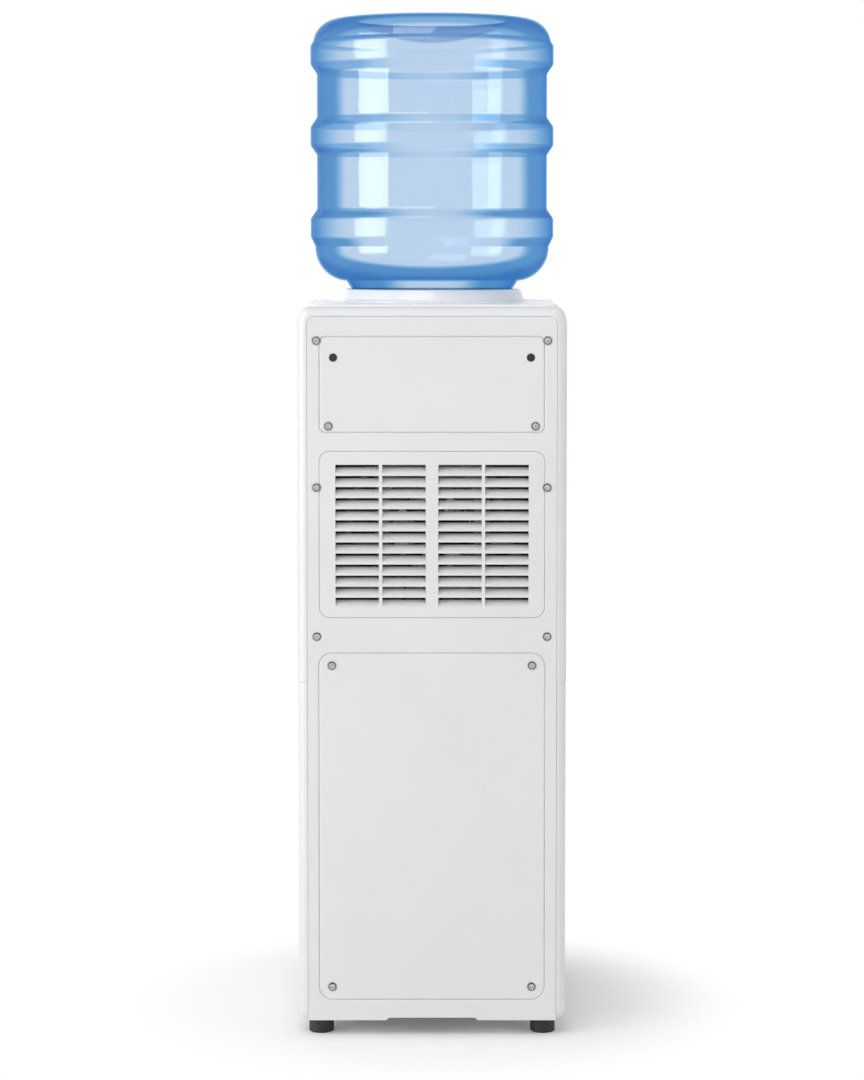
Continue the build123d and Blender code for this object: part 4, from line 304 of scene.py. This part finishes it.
bottleLook = {
    "colour": (0.838, 0.900, 0.964, 1.0),       # what one surface of a wall lets through, seen square on
    "edgeColour": (0.525, 0.727, 0.882, 1.0),   # and seen along the wall
    "rimColour": (0.42, 0.65, 0.85, 1.0),       # and where the outline or a slope turns away most
    "turned": (0.33, 0.50),                     # the deep tone starts and is full at these turns away
    "bandTurned": (0.22, 0.92),                 # and on the bands at these
    "rimTurned": (0.60, 0.95),                  # the rim tone starts and is full at these turns away
    "facingBlend": 0.5,
    "slopeFaces": (0.2, 0.75),                  # a wall counts as sloping as it faces up or down this much
    "paintedSlopeShade": 0.24,                          # how much deeper a sloping wall looks: painted shade, standing in for the dark that refraction and reflected surroundings give there
    "toneShare": 0.3,                           # how much the stipple and the ripple sway the tone
    "shine": 0.04,                              # the share of light that the wall reflects
    "rough": 0.03,
    "bandRadius": (0.1338, 0.1352),             # the stipple starts and is full between these radii
    "stippleScale": 380.0,
    "stippleTone": 0.9,
    "stippleDepth": 0.7,
    "stippleGloss": 0.12,
    "rippleScale": 22.0,
    "rippleTone": 0.12,
    "rippleDepth": 1.2,
    "scuffScale": (35.0, 35.0, 500.0),
    "scuffShare": (0.64, 0.74),
    "scuffDepth": 0.05,
    "scuffGloss": 0.05,
    "bumpHeight": 0.00035,
    "bumpStrength": 0.5,
    "dentRadius": (0.082, 0.088),               # the dent in the base looks lighter inside this radius
    "dentLevel": (1.065, 1.072),                # and above this level
    "dentShare": 0.72,                          # by this much
}


def bottleFinish(name, look):
    # clear blue plastic: light where a wall is seen square on, deeper where it turns away,
    # painted shade on walls that slope up or down, a stipple on the three bands, and a slow ripple and
    # scuffs all over
    finish, wire, place = newFinish(name)
    radius = place.fromAxis()
    band = radius.step(*look["bandRadius"])
    dent = (1 - radius.step(*look["dentRadius"])) * place.part(alongZ).step(*look["dentLevel"])
    stipple = place.noise(look["stippleScale"], detail=2.0, roughness=0.6)
    ripple = place.noise(look["rippleScale"], detail=2.0)
    scuff = place.streaks(look["scuffScale"], detail=4.0).step(*look["scuffShare"])
    clear, deep, rim = (wire.node("ShaderNodeBsdfTransparent", {}, {"Color": look[colour]})
                        for colour in ("colour", "edgeColour", "rimColour"))
    facing = wire.node("ShaderNodeLayerWeight", {}, {"Blend": look["facingBlend"]}, "Facing")
    # painted shade: walls that face up or down are drawn a deeper blue
    slopeShading = wire.upright(alongZ, *look["slopeFaces"]) * look["paintedSlopeShade"]
    tone = ((stipple - noiseMiddle) * band * look["stippleTone"]
            + (ripple - noiseMiddle) * look["rippleTone"])
    turn = (facing + slopeShading + tone * look["toneShare"]) * (1 - dent * look["dentShare"])
    start, full = (low + band * (high - low) for low, high in zip(look["turned"], look["bandTurned"]))
    wall = wire.node("ShaderNodeMixShader", {}, {0: turn.step(start, full), 1: clear, 2: deep})
    wall = wire.node("ShaderNodeMixShader", {}, {0: turn.step(*look["rimTurned"]), 1: wall, 2: rim})
    height = (stipple * band * look["stippleDepth"] + ripple * look["rippleDepth"]
              + scuff * look["scuffDepth"])
    gloss = wire.node("ShaderNodeBsdfGlossy", {}, {
        "Roughness": look["rough"] + band * look["stippleGloss"] + scuff * look["scuffGloss"],
        "Normal": height.bump(look["bumpHeight"], look["bumpStrength"])})
    endWith(wire.node("ShaderNodeMixShader", {}, {0: look["shine"], 1: wall, 2: gloss}))
    return finish


lampLook = {
    "colour": tint(228, 244, 226),
    "shade": tint(208, 232, 206),
    "glow": tint(150, 235, 140),
    "glowStrength": 0.25,
    "frostScale": 900.0,
    "rough": 0.12,
    "roughSpread": 0.1,
    "bumpHeight": 0.00004,
    "clearness": 0.55,
    "ior": 1.5,
}


def lampFinish(name, look):
    # a small half-clear lens with a fine frost, lit a little from within
    finish, wire, place = newFinish(name)
    frost = place.noise(look["frostScale"], detail=2.0)
    endWith(wire.node("ShaderNodeBsdfPrincipled", {}, {
        "Base Color": frost.mix(look["colour"], look["shade"]),
        "Roughness": look["rough"] + frost * look["roughSpread"],
        "Normal": frost.bump(look["bumpHeight"]),
        "Transmission Weight": look["clearness"],
        "IOR": look["ior"],
        "Emission Color": look["glow"],
        "Emission Strength": look["glowStrength"]}))
    return finish


finishLooks = {
    "cabinet_plastic": (plasticFinish, {
        "colour": tint(231, 231, 232), "shade": tint(228, 228, 230), "rough": 0.4, "grainDepth": 0.22}),
    "lid_plastic": (plasticFinish, {
        "colour": tint(248, 248, 248), "shade": tint(246, 246, 246), "rough": 0.24,
        "roughSpread": 0.05, "bumpHeight": 0.000005, "coat": 0.2}),
    "bottle_plastic": (bottleFinish, bottleLook),
    "cap_plastic": (plasticFinish, {
        "colour": tint(96, 138, 205), "shade": tint(84, 126, 196), "rough": 0.4, "glow": 0.1}),
    "black_rubber": (rubberFinish, {
        "colour": tint(31, 31, 33), "dust": tint(52, 52, 53), "rough": 0.62}),
    "black_plastic": (plasticFinish, {
        "colour": tint(24, 24, 26), "shade": tint(32, 32, 34), "rough": 0.42}),
    "food_plastic": (plasticFinish, {
        "colour": tint(236, 236, 230), "shade": tint(228, 228, 222), "rough": 0.38, "glow": 0.15}),
    "screw_steel": (metalFinish, {
        # the recess colour is painted shade in each screw head's cross and round its rim
        "colour": tint(206, 207, 209), "shade": tint(172, 173, 176), "recess": tint(38, 39, 42),
        "rough": 0.28, "lineScale": (1500.0, 150.0, 1500.0), "cloudScale": 300.0}),
    "tank_steel": (metalFinish, {
        "colour": tint(214, 214, 213), "shade": tint(188, 188, 188), "rough": 0.27}),
    "sheet_steel": (metalFinish, {
        "colour": tint(196, 198, 202), "shade": tint(160, 163, 168), "rough": 0.38,
        "lineScale": (90.0, 90.0, 90.0), "lineDepth": 0.2}),
    "foam": (foamFinish, foamLook),
    "aluminium": (metalFinish, {
        "colour": tint(222, 224, 228), "shade": tint(200, 202, 208), "rough": 0.3}),
    "ceramic": (plasticFinish, {
        "colour": tint(240, 240, 235), "shade": tint(226, 225, 218), "rough": 0.5, "grainDepth": 1.2}),
    "silicone": (rubberFinish, {
        "colour": tint(226, 230, 230), "dust": tint(238, 240, 240), "rough": 0.36, "glow": 0.35}),
    "board_green": (boardFinish, boardLook),
    "component_black": (plasticFinish, {
        "colour": tint(34, 34, 37), "shade": tint(44, 44, 47), "rough": 0.5, "grainDepth": 1.2}),
    "lead_black": (rubberFinish, {
        "colour": tint(30, 30, 33), "dust": tint(48, 48, 50), "rough": 0.45}),
    "lamp_clear": (lampFinish, lampLook),
    "hot_red": (plasticFinish, {
        "colour": tint(206, 42, 38), "shade": tint(192, 34, 32), "rough": 0.24, "coat": 0.2}),
    "cold_blue": (plasticFinish, {
        "colour": tint(42, 106, 204), "shade": tint(34, 94, 190), "rough": 0.24, "coat": 0.2}),
    "tap_white": (plasticFinish, {
        "colour": tint(236, 236, 238), "shade": tint(230, 230, 232), "rough": 0.2, "coat": 0.2}),
    "grey_plastic": (plasticFinish, {
        "colour": tint(176, 178, 182), "shade": tint(166, 168, 172), "rough": 0.42}),
}

finishes = {slot: make(slot, look) for slot, (make, look) in finishLooks.items()}
for name, node in frame["nodes"].items():
    for slot in node.material_slots:
        slot.material = finishes[slotOf[name]]
print("finishes:", len(finishes))


stageLook = {
    "floorRadius": 30.0,
    "floorTurns": 48,
    "floorRings": 12,
    "floorHub": 0.02,           # the innermost ring's step, where the outermost is 1
    "floorColour": tint(246, 246, 246),
    "floorLift": 0.08,          # added for the camera, so that a lit floor is as white as the backdrop
    "farFloor": (0.2, 0.36),    # between these radii the floor turns into plain backdrop
    "backdrop": (1.0, 1.0, 1.0, 1.0),
    "worldLight": 0.60,
}


def seenDirectly(wire):
    # 1 for rays from the camera, and for those that a gloss or a clear wall sends on
    camera, glossy, through = (wire.node("ShaderNodeLightPath", {}, {}, kind)
                               for kind in ("Is Camera Ray", "Is Glossy Ray", "Is Transmission Ray"))
    return wire.maths("MINIMUM", camera + glossy + through, 1.0)


def makeFloor(look):
    # a disc of rings: x = r cos a, y = r sin a, z = 0, with r growing as the square of its step
    turns, rings = look["floorTurns"], look["floorRings"]
    r, a = np.meshgrid(np.linspace(look["floorHub"], 1, rings) ** 2 * look["floorRadius"],
                       np.linspace(0, 2 * np.pi, turns, endpoint=False), indexing="ij")
    points = np.stack([r * np.cos(a), r * np.sin(a), r * 0], axis=-1).reshape(-1, 3)
    ring, turn = np.meshgrid(np.arange(rings - 1), np.arange(turns), indexing="ij")
    nextTurn = (turn + 1) % turns
    quads = np.stack([ring * turns + turn, (ring + 1) * turns + turn,
                      (ring + 1) * turns + nextTurn, ring * turns + nextTurn], axis=-1).reshape(-1, 4)
    hub = list(range(turns))
    mesh = bpy.data.meshes.new("studioFloor")
    mesh.from_pydata(points.tolist(), [], quads.tolist() + [hub])
    mesh.materials.append(floorFinish(look))
    floor = bpy.data.objects.new("studioFloor", mesh)
    bpy.context.scene.collection.objects.link(floor)


def floorFinish(look):
    # a matt floor that takes the shadow near the feet, and plain backdrop further out
    finish, wire, place = newFinish("studioFloor")
    seen = seenDirectly(wire)
    matt = wire.node("ShaderNodeBsdfDiffuse", {}, {"Color": look["floorColour"]})
    lift = wire.node("ShaderNodeEmission", {}, {"Strength": seen * look["floorLift"]})
    lit = wire.node("ShaderNodeAddShader", {}, {0: matt, 1: lift})
    plain = wire.node("ShaderNodeEmission", {}, {"Color": look["backdrop"], "Strength": 1.0})
    far = place.fromAxis().step(*look["farFloor"])
    endWith(wire.node("ShaderNodeMixShader", {}, {0: far * seen, 1: lit, 2: plain}))
    return finish


def makeWorld(look):
    # white where it is seen directly, and dimmer as a light on the object
    world = bpy.data.worlds.new("studio")
    world.use_nodes = True
    world.node_tree.nodes.clear()
    wire = Wire(world.node_tree)
    strength = look["worldLight"] + seenDirectly(wire) * (1 - look["worldLight"])
    endWith(wire.node("ShaderNodeBackground", {}, {"Color": look["backdrop"], "Strength": strength}),
            "ShaderNodeOutputWorld")
    bpy.context.scene.world = world


lampAim = Vector((0.0, 0.0, 0.6))    # every lamp faces this point

# the two gloss lamps only show as bright stripes on what shines, and light nothing else
lamps = {
    "left": {"width": 1.4, "height": 2.4, "turn": 59.5, "distance": 2.4, "rise": 1.0, "bright": 2.0},
    "right": {"width": 0.7, "height": 2.4, "turn": -64.5, "distance": 2.4, "rise": 1.0, "bright": 0.9},
    "top": {"width": 1.6, "height": 1.2, "turn": 20.0, "distance": 2.0, "rise": 2.6, "bright": 2.8},
    "front": {"width": 1.2, "height": 1.8, "turn": 160.0, "distance": 2.6, "rise": 1.3, "bright": 1.1},
    "leftGloss": {"width": 1.5, "height": 2.4, "turn": 59.5, "distance": 2.5, "rise": 1.0,
                  "bright": 3.6, "glossOnly": True},
    "rightGloss": {"width": 0.72, "height": 2.4, "turn": -64.5, "distance": 2.5, "rise": 1.0,
                   "bright": 1.2, "glossOnly": True},
}


def makeLamp(name, look):
    # turn is in degrees from the camera's side of the object, towards +X
    light = bpy.data.lights.new(name + "Lamp", "AREA")
    light.shape = "RECTANGLE"
    light.size, light.size_y = look["width"], look["height"]
    area = look["width"] * look["height"]
    light.energy = look["bright"] * area * math.pi    # radiance times area times pi
    lamp = bpy.data.objects.new(name + "Lamp", light)
    turn = math.radians(look["turn"])
    lamp.location = (look["distance"] * math.sin(turn), look["distance"] * math.cos(turn), look["rise"])
    lamp.rotation_euler = (lampAim - lamp.location).to_track_quat("-Z", "Y").to_euler()
    lamp.visible_camera = False
    lamp.visible_transmission = False
    lamp.visible_diffuse = not look.get("glossOnly", False)
    bpy.context.scene.collection.objects.link(lamp)


shot = {
    "place": (0.0, 3.371, 0.8524),
    "pitch": 3.59,          # degrees below the horizon
    "lens": 99.97,          # millimetres
    "sensor": 36.0,         # millimetres, the height of the upright frame
    "shiftDown": 0.0943,    # as a share of that height
}


def makeCamera(look):
    # looks towards -Y, at the object's back
    camera = bpy.data.objects.new("camera", bpy.data.cameras.new("camera"))
    camera.location = look["place"]
    camera.rotation_euler = (math.radians(90 - look["pitch"]), 0.0, math.pi)
    camera.data.lens = look["lens"]
    camera.data.sensor_width = look["sensor"]
    camera.data.shift_y = -look["shiftDown"]
    bpy.context.scene.collection.objects.link(camera)
    bpy.context.scene.camera = camera


makeFloor(stageLook)
makeWorld(stageLook)
for name, look in lamps.items():
    makeLamp(name, look)
makeCamera(shot)
bpy.context.scene.view_settings.view_transform = "Standard"
print("stage, lamps and camera: done")
